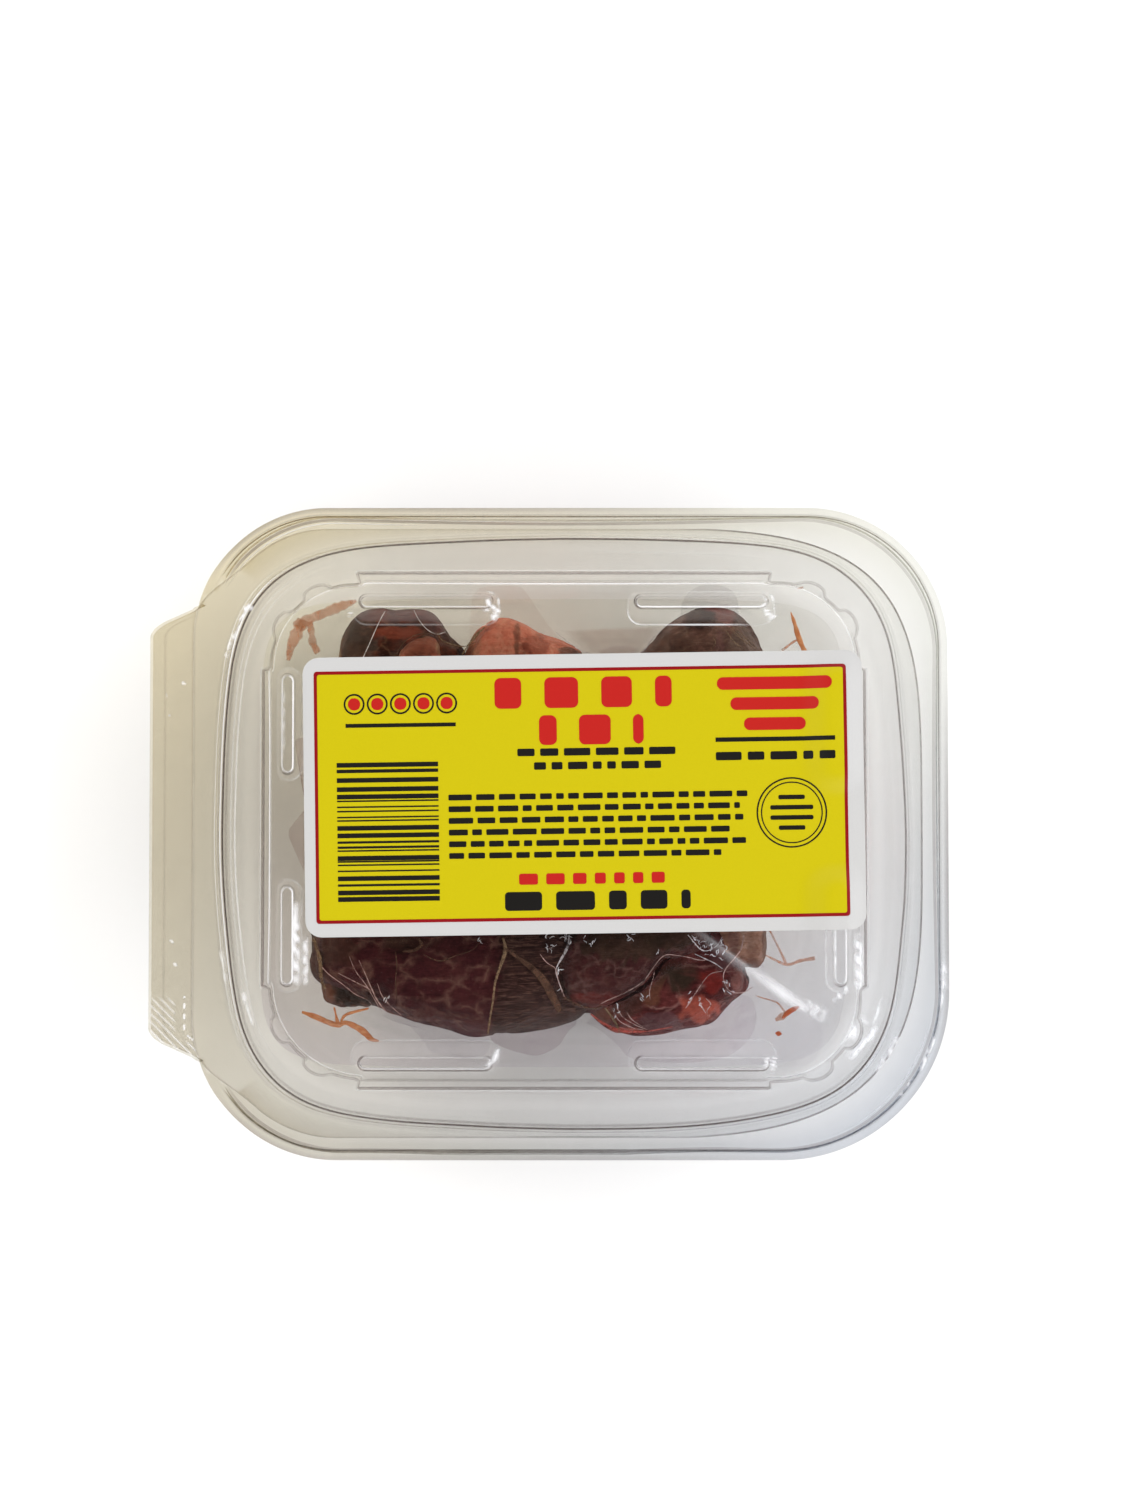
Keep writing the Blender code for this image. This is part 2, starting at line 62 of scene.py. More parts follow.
# The pack's own sizes, read from the frame or as real sizes in metres
SHEET = 0.5 * MM
RIDGE_RISE = 1.4 * MM
LUG_RISE = 1.5 * MM
LIP_DROP = 0.8 * MM
BODY_X = 2.6 * MM                  # middle of the mouth and of the lid's panel
HINGE_X = TRAY_LOW.x
RIGHT_X = TRAY_HIGH.x
REACH_LEFT = BODY_X - HINGE_X
REACH_RIGHT = RIGHT_X - BODY_X
REACH_SIDE = TRAY_HIGH.y
RIM = TRAY_HIGH.z - RIDGE_RISE     # top of the tray's flat rim
LID_RIM = LID_LOW.z + SHEET
PANEL_TOP = LID_HIGH.z - LUG_RISE
FAR_RADII = (24.5 * MM, 26.0 * MM)     # of the rim's far corners, left and right
NEAR_RADII = (26.5 * MM, 31.0 * MM)
HINGE_HALF = 41.0 * MM
STRIP_HALF = 41.8 * MM
MOUTH_HALF = (63.2 * MM, 54.0 * MM)
FAR_MOUTH_POWERS = (4.5, 4.4)      # how square the mouth's far corners are, left and right
NEAR_MOUTH_POWERS = (4.3, 3.8)
LID_EDGE_HALF = (65.8 * MM, 56.2 * MM)
FAR_EDGE_POWERS = (4.3, 4.2)
NEAR_EDGE_POWERS = (4.1, 3.7)
RAY_POWER = 4.2                    # draws the rays together at the corners
BEAD_TOP = LID_RIM + 3.4 * MM
SHOULDER_TOP = BEAD_TOP + 0.9 * MM
PANEL_HALF = (53.8 * MM, 45.4 * MM)
PANEL_STRAIGHT = (36.2 * MM, 28.7 * MM, 27.5 * MM)    # half lengths of its straight sides: X, far Y, near Y
LONG_LUG = (11.8 * MM, 25.0 * MM, 41.8 * MM)     # half length, and its place from the panel's middle
SHORT_LUG = (8.8 * MM, 50.05 * MM, 19.2 * MM)
LUG_FLAT = 1.0 * MM                # half width of a lug's flat top
# Run of the sides of the long and of the short lugs: to the panel's middle, outward, and at the ends
LUG_SLOPES = ((3.2 * MM, 0.95 * MM, 1.5 * MM), (1.7 * MM, 0.95 * MM, 1.5 * MM))
LABEL_SLOPES = ((7.0 * MM, 4.0 * MM, 5.0 * MM), (7.0 * MM, 4.0 * MM, 5.0 * MM))
LABEL_SIZE = (101.6 * MM, 50.8 * MM)
LABEL_MIDDLE = (6.3 * MM, 6.6 * MM)
LABEL_TURN = math.radians(0.85)
LABEL_RADIUS = 3.0 * MM
LABEL_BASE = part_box("label")[0].z
LABEL_THICK = 0.16 * MM

# Power of the pack's tone that one face of plastic takes: where two sheets lie over each other, and alone
TONE_COVERED = 0.125
TONE_STRIP = 0.155
TONE_ALONE = 0.27
# Extra power on the near lip: painted shade, darker towards the near side
NEAR_SHADE_POWER = 0.05
TONE_INSIDE = 0.02
TONE_HALF = (70.0, 60.0)           # half the span of the tone's change in mm, along X and along Y

# Scallops on the panel's corners: X and Y of the middle of each
SCALLOPS = (
    (-42.5, 44.1), (-49.1, 38), (47.9, 44.9), (54.8, 38.2), (-49.1, -36.1), (-42.5, -43.5), (48.4, -43.2),
    (54.6, -36.6),
)

# How much further out the lid's bead lies than the mouth's bowed line: degrees round the pack, and mm
BEAD_BOW = (
    (0, 0), (11, -0.4), (20, -0.85), (25, -0.75), (30, -0.35), (35, 0), (41, 0.45), (46, 1),
    (52, 1.1), (58, 0.85), (66, 0.85), (78, 1.15), (90, 1.3), (102, 1.15), (113, 0.78), (120, 0.7),
    (128, 0.9), (134, 0.9), (140, 0.72), (149, 0.3), (157, 0.1), (168, 0.38), (180, 0.55), (186, 0.35),
    (192, -0.1), (198, -0.7), (205, -1.1), (210, -0.9), (216, -0.55), (220, -0.2), (225, 0.25), (230, 0.25),
    (236, 0), (248, 0.05), (258, 0.4), (270, 0.6), (285, 0.5), (295, 0.3), (302, 0.1), (307, 0.1),
    (312, 0.4), (318, 0.5), (322, 0.25), (328, -0.2), (334, -0.7), (340, -0.95), (344, -0.75), (350, -0.3),
    (360, 0),
)

# Painted glints on the lid, bright streaks in its colour: X, Y, half length, half width in mm, degrees, share
GLINTS = (
    (-45.8, -20.7, 7.9, 0.65, 90, 0.8), (-44.2, -23.7, 4.6, 0.55, 90, 0.6),
    (-48.3, 20, 6.5, 0.35, 90, 0.3), (56, -24, 5.6, 0.7, 90, 0.7), (51.6, -21.5, 6.5, 0.25, 90, 0.6),
    (53, -29.6, 2.2, 0.3, 40, 0.6), (-10.7, 40.9, 1.2, 0.35, -55, 0.9), (-9.8, 39.2, 1.3, 0.45, 65, 0.8),
    (-11.3, 40, 0.6, 0.35, 0, 0.6), (39.4, 40, 1.3, 0.3, -65, 0.8), (40.1, 38.6, 1, 0.4, 40, 0.7),
    (-36, 39.6, 0.9, 0.3, 60, 0.5), (40.6, -42.6, 1.9, 0.35, 80, 0.7), (39.2, -42, 1.2, 0.3, 60, 0.6),
    (-9.4, -41, 1.5, 0.35, 75, 0.8), (-10.8, -42.1, 0.8, 0.35, 50, 0.7),
    (-55.3, 41, 1.1, 0.5, -15, 0.85), (-56, 39.6, 1.6, 0.35, 55, 0.7),
    (-58.6, 34.4, 2.6, 0.45, 68, 0.8), (-57.2, 36.6, 2, 0.3, 66, 0.6),
    (-59.6, -25, 3.8, 0.35, 100, 0.6), (-54.9, -32.4, 3.6, 0.35, 108, 0.5),
    (57.3, -38.6, 4, 0.5, 50, 0.8), (55.2, -36, 3.4, 0.3, 52, 0.6), (61.6, -41, 4.6, 0.6, 57, 0.8),
    (60, -44.6, 3.2, 0.35, 52, 0.5), (59.8, -33, 3.6, 0.3, 72, 0.6), (42.5, -29.5, 9.5, 1.3, -30, 0.45),
)
# The same painted glints on the tray's guard ridge
RIM_GLINTS = (
    (69, -40.5, 3.6, 0.45, 66, 0.8), (72, -28, 4.8, 0.3, 86, 0.6), (65.2, -46.6, 2.4, 0.4, 55, 0.5),
)

# Share of each colour that one face of the film lets by: near left and right, then far left and right
FILM_TONES = (((0.968, 0.952, 0.978), (0.995, 0.992, 1.0)), ((1.0, 0.997, 0.956), (0.991, 0.990, 0.984)))

# The view of the reference: aimed at a point on the rim's plane, from a little towards the viewer
VIEW_AIM = (2.385 * MM, 15.1 * MM, 35.8 * MM)
VIEW_AWAY = 865.0 * MM
VIEW_TILT = math.radians(3.6)
VIEW_HEIGHT = 275.2 * MM
SENSOR_HEIGHT = 36.0

# Each piece of pork: its bottom and top in mm, its finish, and its outline in mm as the film holds it
PORK = {
    "pork_upper_left": (3.0, 36.0, "crusted", (
        (-39.6, 30), (-39.1, 33.8), (-38.6, 37.2), (-37.7, 39.3), (-36.3, 40.7), (-35, 41.7), (-28.2, 41.9),
        (-22, 41.8), (-20.6, 40.3), (-19.2, 38), (-17.8, 36), (-15.9, 35.7), (-16.5, 26), (-22, 17),
        (-30, 15), (-37, 19),
    )),
    "pork_upper_nub": (14.0, 38.6, "glazed", (
        (-28.5, 32.6), (-27.4, 34), (-26, 35.3), (-23.8, 36.3), (-21.9, 36.6), (-20.2, 35.9), (-19.4, 34.5),
        (-19.1, 32.6), (-20.4, 26), (-24, 24), (-27.8, 27),
    )),
    "pork_upper_middle": (2.8, 38.0, "glazed", (
        (-16.8, 30), (-16.4, 33.2), (-15.6, 34.8), (-14.7, 36.4), (-13.1, 38.6), (-10.8, 40), (-9.1, 40.7),
        (-7.5, 40.5), (-5.2, 39.5), (-1.9, 37.5), (1.5, 36.4), (6.6, 33.8), (7.2, 24), (3, 15), (-6, 11.5),
        (-14, 16),
    )),
    "pork_upper_right": (3.2, 37.5, "charred", (
        (14.2, 30), (16.9, 33.9), (19.4, 36.4), (21.7, 38.9), (23.9, 40.4), (25.6, 41.8), (28.4, 42.2),
        (33.5, 42), (35.7, 41), (37.4, 38.9), (39.6, 34.4), (41, 25), (37, 15), (27, 12), (17, 16),
    )),
    "pork_middle_left": (2.4, 39.4, "marbled", (
        (-44, 0), (-41, 12), (-30, 19), (-14, 18), (-6, 8), (-6, -6), (-16, -13), (-34, -13),
    )),
    "pork_middle": (2.4, 40.0, "marbled", (
        (-13, 2), (-10, 16), (2, 21), (16, 18), (20.5, 6), (17, -9), (4, -13), (-9, -10),
    )),
    "pork_middle_right": (2.4, 39.5, "glazed", (
        (11.5, 4), (14, 17), (26, 21), (37, 16), (39.8, 4), (38, -9), (27, -14.6), (15, -11),
    )),
    "pork_lower_left": (2.6, 39.4, "marbled", (
        (-44.4, -14), (-44.4, -19.1), (-44.4, -22.1), (-44.5, -26.3), (-42.8, -27.8), (-40, -28.6),
        (-36, -30.2), (-33.2, -31.6), (-31.3, -33.1), (-28.4, -33.3), (-25.2, -34.6), (-21.1, -35.4),
        (-17.9, -36.3), (-14.7, -37.5), (-12.4, -37.5), (-11.1, -37.1), (-6.7, -36.7), (-1.9, -36.1),
        (1, -35.6), (3.9, -34.7), (6, -33.8), (7.5, -33.1), (8, -28), (7, -16), (-2, -6), (-20, -3),
        (-37, -5),
    )),
    "pork_lower_knob": (12.0, 33.0, "charred", (
        (-42.4, -27.6), (-42.1, -29.2), (-41.7, -30.7), (-39.8, -31.5), (-37.7, -32), (-34.8, -31.9),
        (-33, -31.8), (-32.4, -29.5), (-33.5, -26.5), (-37.2, -25), (-40.4, -25.4),
    )),
    "pork_lower_lobe": (3.0, 40.5, "dark", (
        (2.6, -12), (2, -19), (0.2, -24.5), (0.2, -27.2), (2, -31.2), (5, -32.8), (9.8, -32.8),
        (14.6, -30.6), (18.8, -27.6), (21.5, -24), (25.5, -23.4), (30, -21), (31, -12), (25, -5), (10, -4),
    )),
    "pork_lower_right": (2.6, 36.0, "rosy", (
        (6, -30), (7.5, -33.1), (8.9, -34.5), (10.7, -36), (12.4, -36.7), (16, -37.2), (18.8, -37.1),
        (23.1, -36.3), (25.9, -35.7), (28.8, -35.4), (30.9, -34.5), (32.4, -32.4), (34.5, -30.3),
        (36.3, -28.9), (37.7, -27.8), (37, -26.4), (36.3, -24.6), (36.1, -21), (36, -18.2), (30, -14),
        (15, -17), (7, -24),
    )),
    "pork_right_end": (6.0, 35.0, "fatty", (
        (30.5, -24.9), (36.5, -24.2), (39.7, -24.6), (39.9, -22.8), (39.9, -18.2), (39.6, -10), (36, -3),
        (31, -4),
    )),
}
POUCH_MIDDLE = ((POUCH_LOW.x + POUCH_HIGH.x) / 2, (POUCH_LOW.y + POUCH_HIGH.y) / 2)
POUCH_HALF = ((POUCH_HIGH.x - POUCH_LOW.x) / 2, (POUCH_HIGH.y - POUCH_LOW.y) / 2)
SKIRT_MIDDLE = 22.0 * MM
FILM_STEP = 0.5 * MM               # between the film's points
FILM_ENDS = 0.9995                 # share of the pouch's half length at which its first and last rows lie
FILM_CLEAR = 0.5 * MM              # between the pork and the film drawn down on it
SLACK = 0.5 * MM                   # least height of an open sheet over or under the skirt
SHUT_HALF = 0.12 * MM              # the same of a shut one

RED_JUICE = (0.74, 0.17, 0.06)
RED_JUICE_DEEP = (0.50, 0.075, 0.028)
SMEAR_COLOR = (0.64, 0.27, 0.14)
# How far runs and smears are sunk under the film's upper sheet, and half their thickness
JUICE_LAY = (0.25 * MM, 0.12 * MM)
SMEAR_LAY = (0.2 * MM, 0.05 * MM)
# Runs of juice between the sheets of film: points in mm, and half widths in mm/100 along them
JUICE = {
    "juice_lower_left": (((-46, -32.8), (-43.4, -33.7), (-40.8, -34.8), (-39.1, -35.2), (-37.6, -34.8),
        (-35.4, -35.8), (-34.1, -36.8), (-33.1, -37.8), (-31.6, -38.2)),
        (25, 50, 55, 50, 45, 60, 62, 50, 8)),
    "juice_lower_left_stem": (((-39.6, -32), (-39.4, -33.4), (-39.2, -35)), (16, 24, 45)),
    "juice_lower_left_arm": (((-38.6, -34.6), (-37.6, -33.4), (-35.4, -32.7), (-33.2, -32.2)),
        (20, 26, 26, 14)),
    "juice_lower_right": (((43.2, -33.9), (43.9, -33.2), (44.7, -32.6), (45.6, -32.1), (46.5, -31.7)),
        (15, 50, 52, 42, 12)),
    "juice_lower_right_dot": (((41.9, -36.7), (42.5, -36.8), (43.1, -36.9)), (12, 42, 12)),
    "juice_upper_right": (((45, 41.7), (45.7, 39.6), (46.5, 36.9), (47.7, 34)), (12, 38, 50, 50)),
}
SMEARS = {
    "smear_upper_left": (((-36.1, 43.9), (-39.1, 42.8), (-42.5, 41.4), (-45.5, 40.1), (-47, 38.6)),
        (30, 100, 90, 110, 80)),
    "smear_upper_left_outer": (((-46.2, 40.4), (-47.1, 38), (-48.2, 35.5), (-48.8, 32.7)),
        (110, 130, 90, 40)),
    "smear_upper_left_inner": (((-44.8, 40), (-44.4, 37.6), (-44.2, 36), (-43.2, 34)), (70, 70, 80, 60)),
    "smear_upper_right_arm": (((46.5, 36.8), (44.8, 35.7), (43.2, 34.3)), (16, 26, 24)),
    "smear_right_stem": (((40.4, -17.8), (42.4, -21.3), (43.9, -23.9)), (20, 22, 30)),
    "smear_right_arm": (((39.8, -22.5), (43.9, -24), (46.5, -23.3), (49.3, -22.8)), (15, 28, 32, 40)),
    "smear_right_low": (((38.1, -29.8), (41.6, -30.8), (42.7, -31.5), (43.9, -33.2)), (10, 16, 18, 20)),
    "smear_right_halo": (((41.9, -34.3), (43, -33.7), (44.2, -33)), (30, 70, 40)),
    "smear_upper_right_dot": (((46.3, 46.2), (46.9, 46.3), (47.4, 46.5)), (10, 24, 10)),
}

# Folds of film over the pork, by tone: points in mm, and half widths in mm/100 along them
FOLDS = {
    "tan": (
        (((-8.5, -19.2), (-8, -21.6), (-8.7, -24), (-9.8, -27.3), (-10.2, -30.4), (-10.7, -33.4),
         (-11.3, -37)), (14, 42, 34, 26, 22, 20, 16)),
        (((-43.3, -19.4), (-42.4, -21.8), (-41.9, -24.2), (-41.8, -26.7), (-41.2, -28.7)),
         (35, 40, 50, 40, 30)),
        (((10.1, -32.1), (11.2, -33.5), (12.3, -35.2), (12.9, -36.7)), (14, 26, 24, 10)),
        (((-20.5, 36.7), (-19.6, 35.2), (-15.9, 34.4), (-13.5, 34.9)), (20, 16, 14, 8)),
        (((-16.1, 32.8), (-13.8, 36), (-11.9, 37.8)), (20, 28, 14)),
        (((29.6, 33.2), (30.4, 34.7), (29.9, 35.8)), (6, 8, 4)),
        (((32.5, 37.8), (34.8, 35.8), (37.9, 33.4)), (5, 9, 6)),
        (((33.2, 38), (36.3, 35.3), (38.9, 33.2)), (5, 9, 6)),
        (((32.3, 37.1), (33.7, 35), (35.8, 33.2)), (5, 10, 6)),
    ),
    "brown": (
        (((-8, -21.3), (-6.2, -22.7), (-3.1, -25), (-1, -27.3), (0.9, -30.7), (1.9, -32.8)),
         (20, 40, 70, 90, 90, 60)),
        (((-28, -21.9), (-27.8, -24.6), (-28, -27.1), (-27.9, -29.8), (-28, -31.6)), (8, 14, 10, 10, 5)),
        (((-22.9, -22.5), (-21.3, -23.3), (-19.5, -23.6), (-17.1, -22.7), (-14, -21.6), (-12.5, -19.8)),
         (8, 12, 16, 10, 10, 8)),
        (((-26.7, -21.9), (-24.6, -21.7), (-23.3, -20.7), (-23.9, -19.5)), (14, 36, 34, 20)),
        (((2.5, -30.2), (3.9, -31), (5.5, -31.7), (7.8, -32.3), (9.5, -31.8)), (12, 22, 22, 22, 14)),
        (((-28, 32.7), (-26.2, 35.3), (-23.1, 36.5), (-20.8, 36.4)), (16, 18, 12, 10)),
    ),
    "rose": (
        (((-41.6, -24.7), (-40.2, -26.1), (-37.7, -27.9), (-35.6, -29.6), (-33.5, -30.6), (-32.5, -31.6)),
         (12, 16, 14, 16, 12, 10)),
        (((-38.6, -25.8), (-35.9, -27.2), (-33.4, -28.4), (-32.5, -29.1)), (6, 13, 15, 10)),
        (((-34.7, -23.5), (-33.5, -26.1), (-32.5, -28.5), (-31.4, -30.8), (-29.8, -32.8), (-27.4, -33.6)),
         (6, 10, 16, 26, 14, 6)),
        (((-36.5, -22.8), (-35.3, -25.5), (-33.5, -27.9), (-32.3, -30), (-30.7, -32.9)), (5, 10, 12, 12, 8)),
        (((-31.4, -27.6), (-30.5, -30), (-29, -31.8), (-27.1, -33.5)), (5, 14, 12, 8)),
        (((-1.7, -22.4), (-0.5, -23.9), (0.9, -24.8), (1.3, -25.7), (1.6, -27.1), (2.2, -28.8),
         (2.7, -30.1)), (12, 14, 12, 16, 18, 16, 8)),
        (((9.4, -31.4), (10.8, -30.7), (13.4, -29.6), (15.6, -28.4), (17.3, -27.1), (18.9, -24.9),
         (20.3, -23.1), (21.5, -22.5), (23, -22.6)), (8, 12, 10, 12, 12, 10, 12, 16, 8)),
        (((23, -22.6), (25.1, -22.9), (27.3, -23.4), (29, -23.4)), (8, 16, 14, 6)),
        (((35.6, -18.8), (35, -21.5), (33.6, -23.4), (32.2, -25.1), (31.8, -26.5), (32.3, -28.2),
         (33.3, -29.2), (35.5, -29.3), (37.5, -28.2)), (16, 18, 22, 20, 14, 14, 16, 16, 8)),
        (((12.3, -32.1), (13.4, -33.8), (15.6, -35.2), (17.9, -36.1)), (8, 12, 14, 6)),
        (((14, -32.7), (15.1, -34.3), (17.1, -35.6)), (6, 14, 5)),
        (((11.4, -32.2), (12.8, -34.5), (15.1, -35.7), (17.3, -36.2)), (8, 12, 14, 6)),
        (((24.9, -32.2), (25.9, -30.7), (26.6, -29.6), (29.1, -26.2), (31.6, -25.4)), (10, 22, 14, 10, 12)),
        (((27.3, -30.1), (27.6, -31.3), (28, -32.2), (29, -33.6)), (14, 26, 24, 8)),
        (((28.6, -30.4), (29.5, -31.5), (28.8, -32.7), (29.4, -33.8)), (12, 18, 16, 6)),
        (((19.2, -25.4), (18.8, -27.1), (18.3, -29), (18.4, -30.7)), (8, 20, 16, 6)),
    ),
    # Pale folds: painted highlights along film folds
    "pale": (
        (((3.6, -18.9), (3.4, -20.7), (2.5, -22.7), (1.5, -24.4), (1.2, -25.7), (1.8, -27.7), (2.5, -29.4)),
         (16, 32, 42, 16, 12, 10, 8)),
        (((25.2, -18.9), (26.5, -20.4), (27.6, -21.5), (29, -21.7), (30.7, -20.7), (31.6, -19.2)),
         (10, 12, 16, 12, 10, 8)),
        (((26.5, -22.3), (28.5, -23.2), (30.2, -24), (31.8, -25.1)), (8, 14, 14, 8)),
        (((-30.3, 40.9), (-31.8, 37.6), (-33.1, 34.5), (-34.3, 31.8)), (12, 12, 12, 12)),
        (((-25, 41.1), (-24, 39.1), (-22.5, 37.3), (-20.7, 36.4), (-19.2, 37.1)), (10, 10, 12, 14, 8)),
        (((1.2, 37.1), (3.8, 34.8), (6.5, 33.3), (11.1, 33), (16.8, 33.3), (18.8, 35.6), (21.4, 38.2)),
         (8, 12, 12, 8, 12, 12, 6)),
    ),
    # Deep fold: a painted shadow line where two pieces of pork meet
    "deep": (
        (((10.6, -31.8), (13.6, -30.5), (16.1, -29.1), (18, -27.6), (19.7, -25.4), (20.9, -23.8),
         (22.2, -23.1)), (10, 28, 45, 50, 40, 30, 10)),
    ),
    "red": (
        (((7.5, -33.2), (9.5, -34.7), (11.8, -35.9), (14, -36.4), (18, -36.4), (22.5, -35.6)),
         (14, 24, 30, 26, 16, 6)),
    ),
}
# Colours of the folds; pale and wet are painted highlights, and deep a painted shadow
FOLD_TONES = {
    "tan": (0.26, 0.17, 0.11), "brown": (0.13, 0.07, 0.05), "rose": (0.6, 0.4, 0.38),
    "pale": (0.78, 0.72, 0.76), "deep": (0.012, 0.005, 0.005), "red": (0.5, 0.12, 0.1),
    "wet": (0.95, 0.93, 1.0),
}
FOLD_WIDTH = {"rose": 0.62, "pale": 0.7, "brown": 0.9}

# Short wet wrinkles drawn as near-white lines, painted highlights: middle and half spread in mm, how many,
# their lean and length in mm
WRINKLES = (
    (-0.2, -21.4, 0.6, 2, 7, 70, 1.3), (3.3, -21, 0.35, 2.2, 6, 85, 1.6),
    (7.4, -20.2, 1.2, 0.8, 5, 30, 1), (14.6, -19.4, 0.9, 0.7, 5, 40, 1),
    (19.9, -22.3, 0.5, 0.3, 2, 120, 0.8), (30.2, -21.6, 2, 1.6, 16, 60, 1.1),
    (27.2, -20.6, 0.8, 1.4, 6, 130, 1.2), (32.6, -28.6, 0.7, 1.2, 8, 100, 0.9),
    (-29.6, -30.8, 0.4, 0.8, 4, -60, 0.9), (12, -32.4, 0.5, 1.2, 4, -60, 1),
    (1.6, -27, 0.3, 2.2, 4, 80, 1), (-12.9, -20.2, 0.5, 0.4, 3, 30, 0.8),
    (17.6, -31.2, 0.6, 1.2, 4, 75, 0.9), (26.4, -31, 1.2, 1.4, 6, 70, 0.9),
)

# Wet patches where slack sheets touch: outline in mm, share of each colour let by, and how crisp the edge is
PATCHES = {
    "patch_upper_middle": (((-15, 36), (-14.6, 43.5), (-13.6, 45.8), (-11.6, 46.6), (-6.1, 46.6),
        (-4.2, 45.2), (-1.2, 40.6), (1.4, 37.4), (4.3, 34.9), (6.8, 33.2), (4, 31), (-8, 31)),
        (0.955, 0.91, 0.9), 1),
    "patch_upper_right": (((24.4, 40.5), (24.6, 43), (25.7, 45.2), (27.8, 46.6), (30.4, 46.9), (33, 46.4),
        (34.7, 45), (35.2, 42.4), (34, 40)), (0.85, 0.845, 0.855), 0.9),
    "patch_stain": (((1.9, 38.4), (9.4, 38.9), (16.8, 39.1), (21.6, 39.2), (20.2, 36.4), (16.7, 33.4),
        (6.8, 33.2)), (0.84, 0.75, 0.72), 0),
    "patch_stain_core": (((8.6, 34.2), (10.8, 35.4), (14, 35.7), (17, 34.8), (16, 33), (10.6, 32.2)),
        (0.88, 0.83, 0.84), 0),
    "patch_lower_seam": (((-12, -36), (-10.6, -38.2), (-8.3, -39.5), (-5, -40.5), (-2.5, -40.9),
        (-0.3, -40.2), (1.9, -38.8), (3.4, -36.4), (4.9, -35), (4, -32), (-4, -32)),
        (0.845, 0.785, 0.81), 1),
    "patch_lower_right": (((6.6, -34.9), (8.4, -35.6), (10.4, -37), (12.7, -39), (15.4, -41.4), (24, -42.2),
        (33, -41), (38, -36), (37, -30), (28, -30), (12, -31)), (0.875, 0.835, 0.865), 0.85),
    "patch_lower_left": (((-31.4, -33.4), (-28.3, -34.8), (-26.4, -35.1), (-23.8, -37.8), (-21.6, -40.3),
        (-16.2, -41.4), (-12, -40.6), (-11.4, -37.4), (-16, -34), (-25, -31.6)), (0.9, 0.885, 0.91), 0.9),
    "patch_right": (((38.5, -19), (39.8, -27), (41.8, -30.2), (45.6, -31.8), (49.5, -34), (50.8, -38.5),
        (47.6, -42.6), (38, -42.4), (33, -38.5), (36, -30)), (0.97, 0.962, 0.978), 0.9),
    "patch_left": (((-43, 20), (-45.3, 18.4), (-47.4, 17.5), (-46.4, 12), (-45.4, 5.4), (-47, 3),
        (-48.6, 0.5), (-47, -3.8), (-45, -8), (-42.6, -12), (-42, 4)), (0.84, 0.76, 0.75), 1),
}


def held(value):
    """The value, kept between 0 and 1."""
    return np.clip(value, 0.0, 1.0)


def smooth(value, low, high):
    """0 below low, 1 above high, with 3t^2 - 2t^3 between them."""
    part = held((value - low) / (high - low))
    return part * part * (3.0 - 2.0 * part)


def fall(value, low, high):
    """1 below low and 0 above high: the reverse of smooth."""
    return 1.0 - smooth(value, low, high)


def thin_line(value, middle, half):
    """1 at the middle, falling straight to 0 this far either side."""
    return held(1.0 - np.abs(value - middle) / half)


def through(points, count):
    """A smooth line through the points: a Catmull-Rom cubic between each pair, count points in all."""
    given = np.asarray(points, float)
    padded = np.vstack((2 * given[0] - given[1], given, 2 * given[-1] - given[-2]))
    place = np.linspace(0.0, len(given) - 1.0, count)
    k = np.minimum(place.astype(int), len(given) - 2)
    t = (place - k)[:, None]
    p0, p1, p2, p3 = padded[k], padded[k + 1], padded[k + 2], padded[k + 3]
    return 0.5 * (2 * p1 + (p2 - p0) * t + (2 * p0 - 5 * p1 + 4 * p2 - p3) * t ** 2
                  + (3 * p1 - p0 - 3 * p2 + p3) * t ** 3)


def waves(points, length, seed, count=10):
    """A smooth uneven field round 0: a sum of sines of about this wave length in seeded directions."""
    draw = np.random.default_rng(seed)
    total = np.zeros(points.shape[:-1])
    for _ in range(count):
        direction = draw.normal(size=points.shape[-1])
        direction *= 2.0 * np.pi / (np.linalg.norm(direction) * length * draw.uniform(0.7, 1.6))
        total += np.sin(points @ direction + draw.uniform(0.0, 2.0 * np.pi))
    return total / math.sqrt(count)


def ray_angles(count):
    """Angles of the rays from the mouth's middle, closer together where its corners turn."""
    turn = np.arange(count) * 2.0 * np.pi / count
    x = np.sign(np.cos(turn)) * np.abs(np.cos(turn)) ** (2.0 / RAY_POWER) * MOUTH_HALF[0]
    y = np.sign(np.sin(turn)) * np.abs(np.sin(turn)) ** (2.0 / RAY_POWER) * MOUTH_HALF[1]
    return 0.5 * np.unwrap(np.arctan2(y, x)) + 0.5 * turn


def by_corner(angles, far, near):
    """The value of each ray's quarter, from pairs for the left and the right."""
    side = (np.cos(angles) > 0).astype(int)
    return np.where(np.sin(angles) > 0, np.take(far, side), np.take(near, side))


def bowed_reach(angles, half, power):
    """Distance to a superellipse along each ray: one over the power mean of cos/a and sin/b."""
    across = np.abs(np.cos(angles) / half[0]) ** power
    along = np.abs(np.sin(angles) / half[1]) ** power
    return (across + along) ** (-1.0 / power)


def mouth_reach(angles, inset):
    power = by_corner(angles, FAR_MOUTH_POWERS, NEAR_MOUTH_POWERS)
    return bowed_reach(angles, (MOUTH_HALF[0] - inset, MOUTH_HALF[1] - inset), power)


def rounded_reach(angles, left, right, side, radius):
    """Distance to a rounded rectangle along each ray: to its flat sides, or to the corner's circle."""
    cosine = np.cos(angles)
    sine = np.sin(angles)
    reach_x = np.where(cosine > 0, right, left)
    flat = np.minimum(reach_x / np.maximum(np.abs(cosine), 1e-9), side / np.maximum(np.abs(sine), 1e-9))
    centre_x = reach_x - radius
    centre_y = side - radius
    in_corner = (flat * np.abs(cosine) > centre_x) & (flat * np.abs(sine) > centre_y)
    toward = np.abs(cosine) * centre_x + np.abs(sine) * centre_y
    inside = radius ** 2 - (centre_x ** 2 + centre_y ** 2 - toward ** 2)
    return np.where(in_corner, toward + np.sqrt(np.maximum(inside, 0.0)), flat)


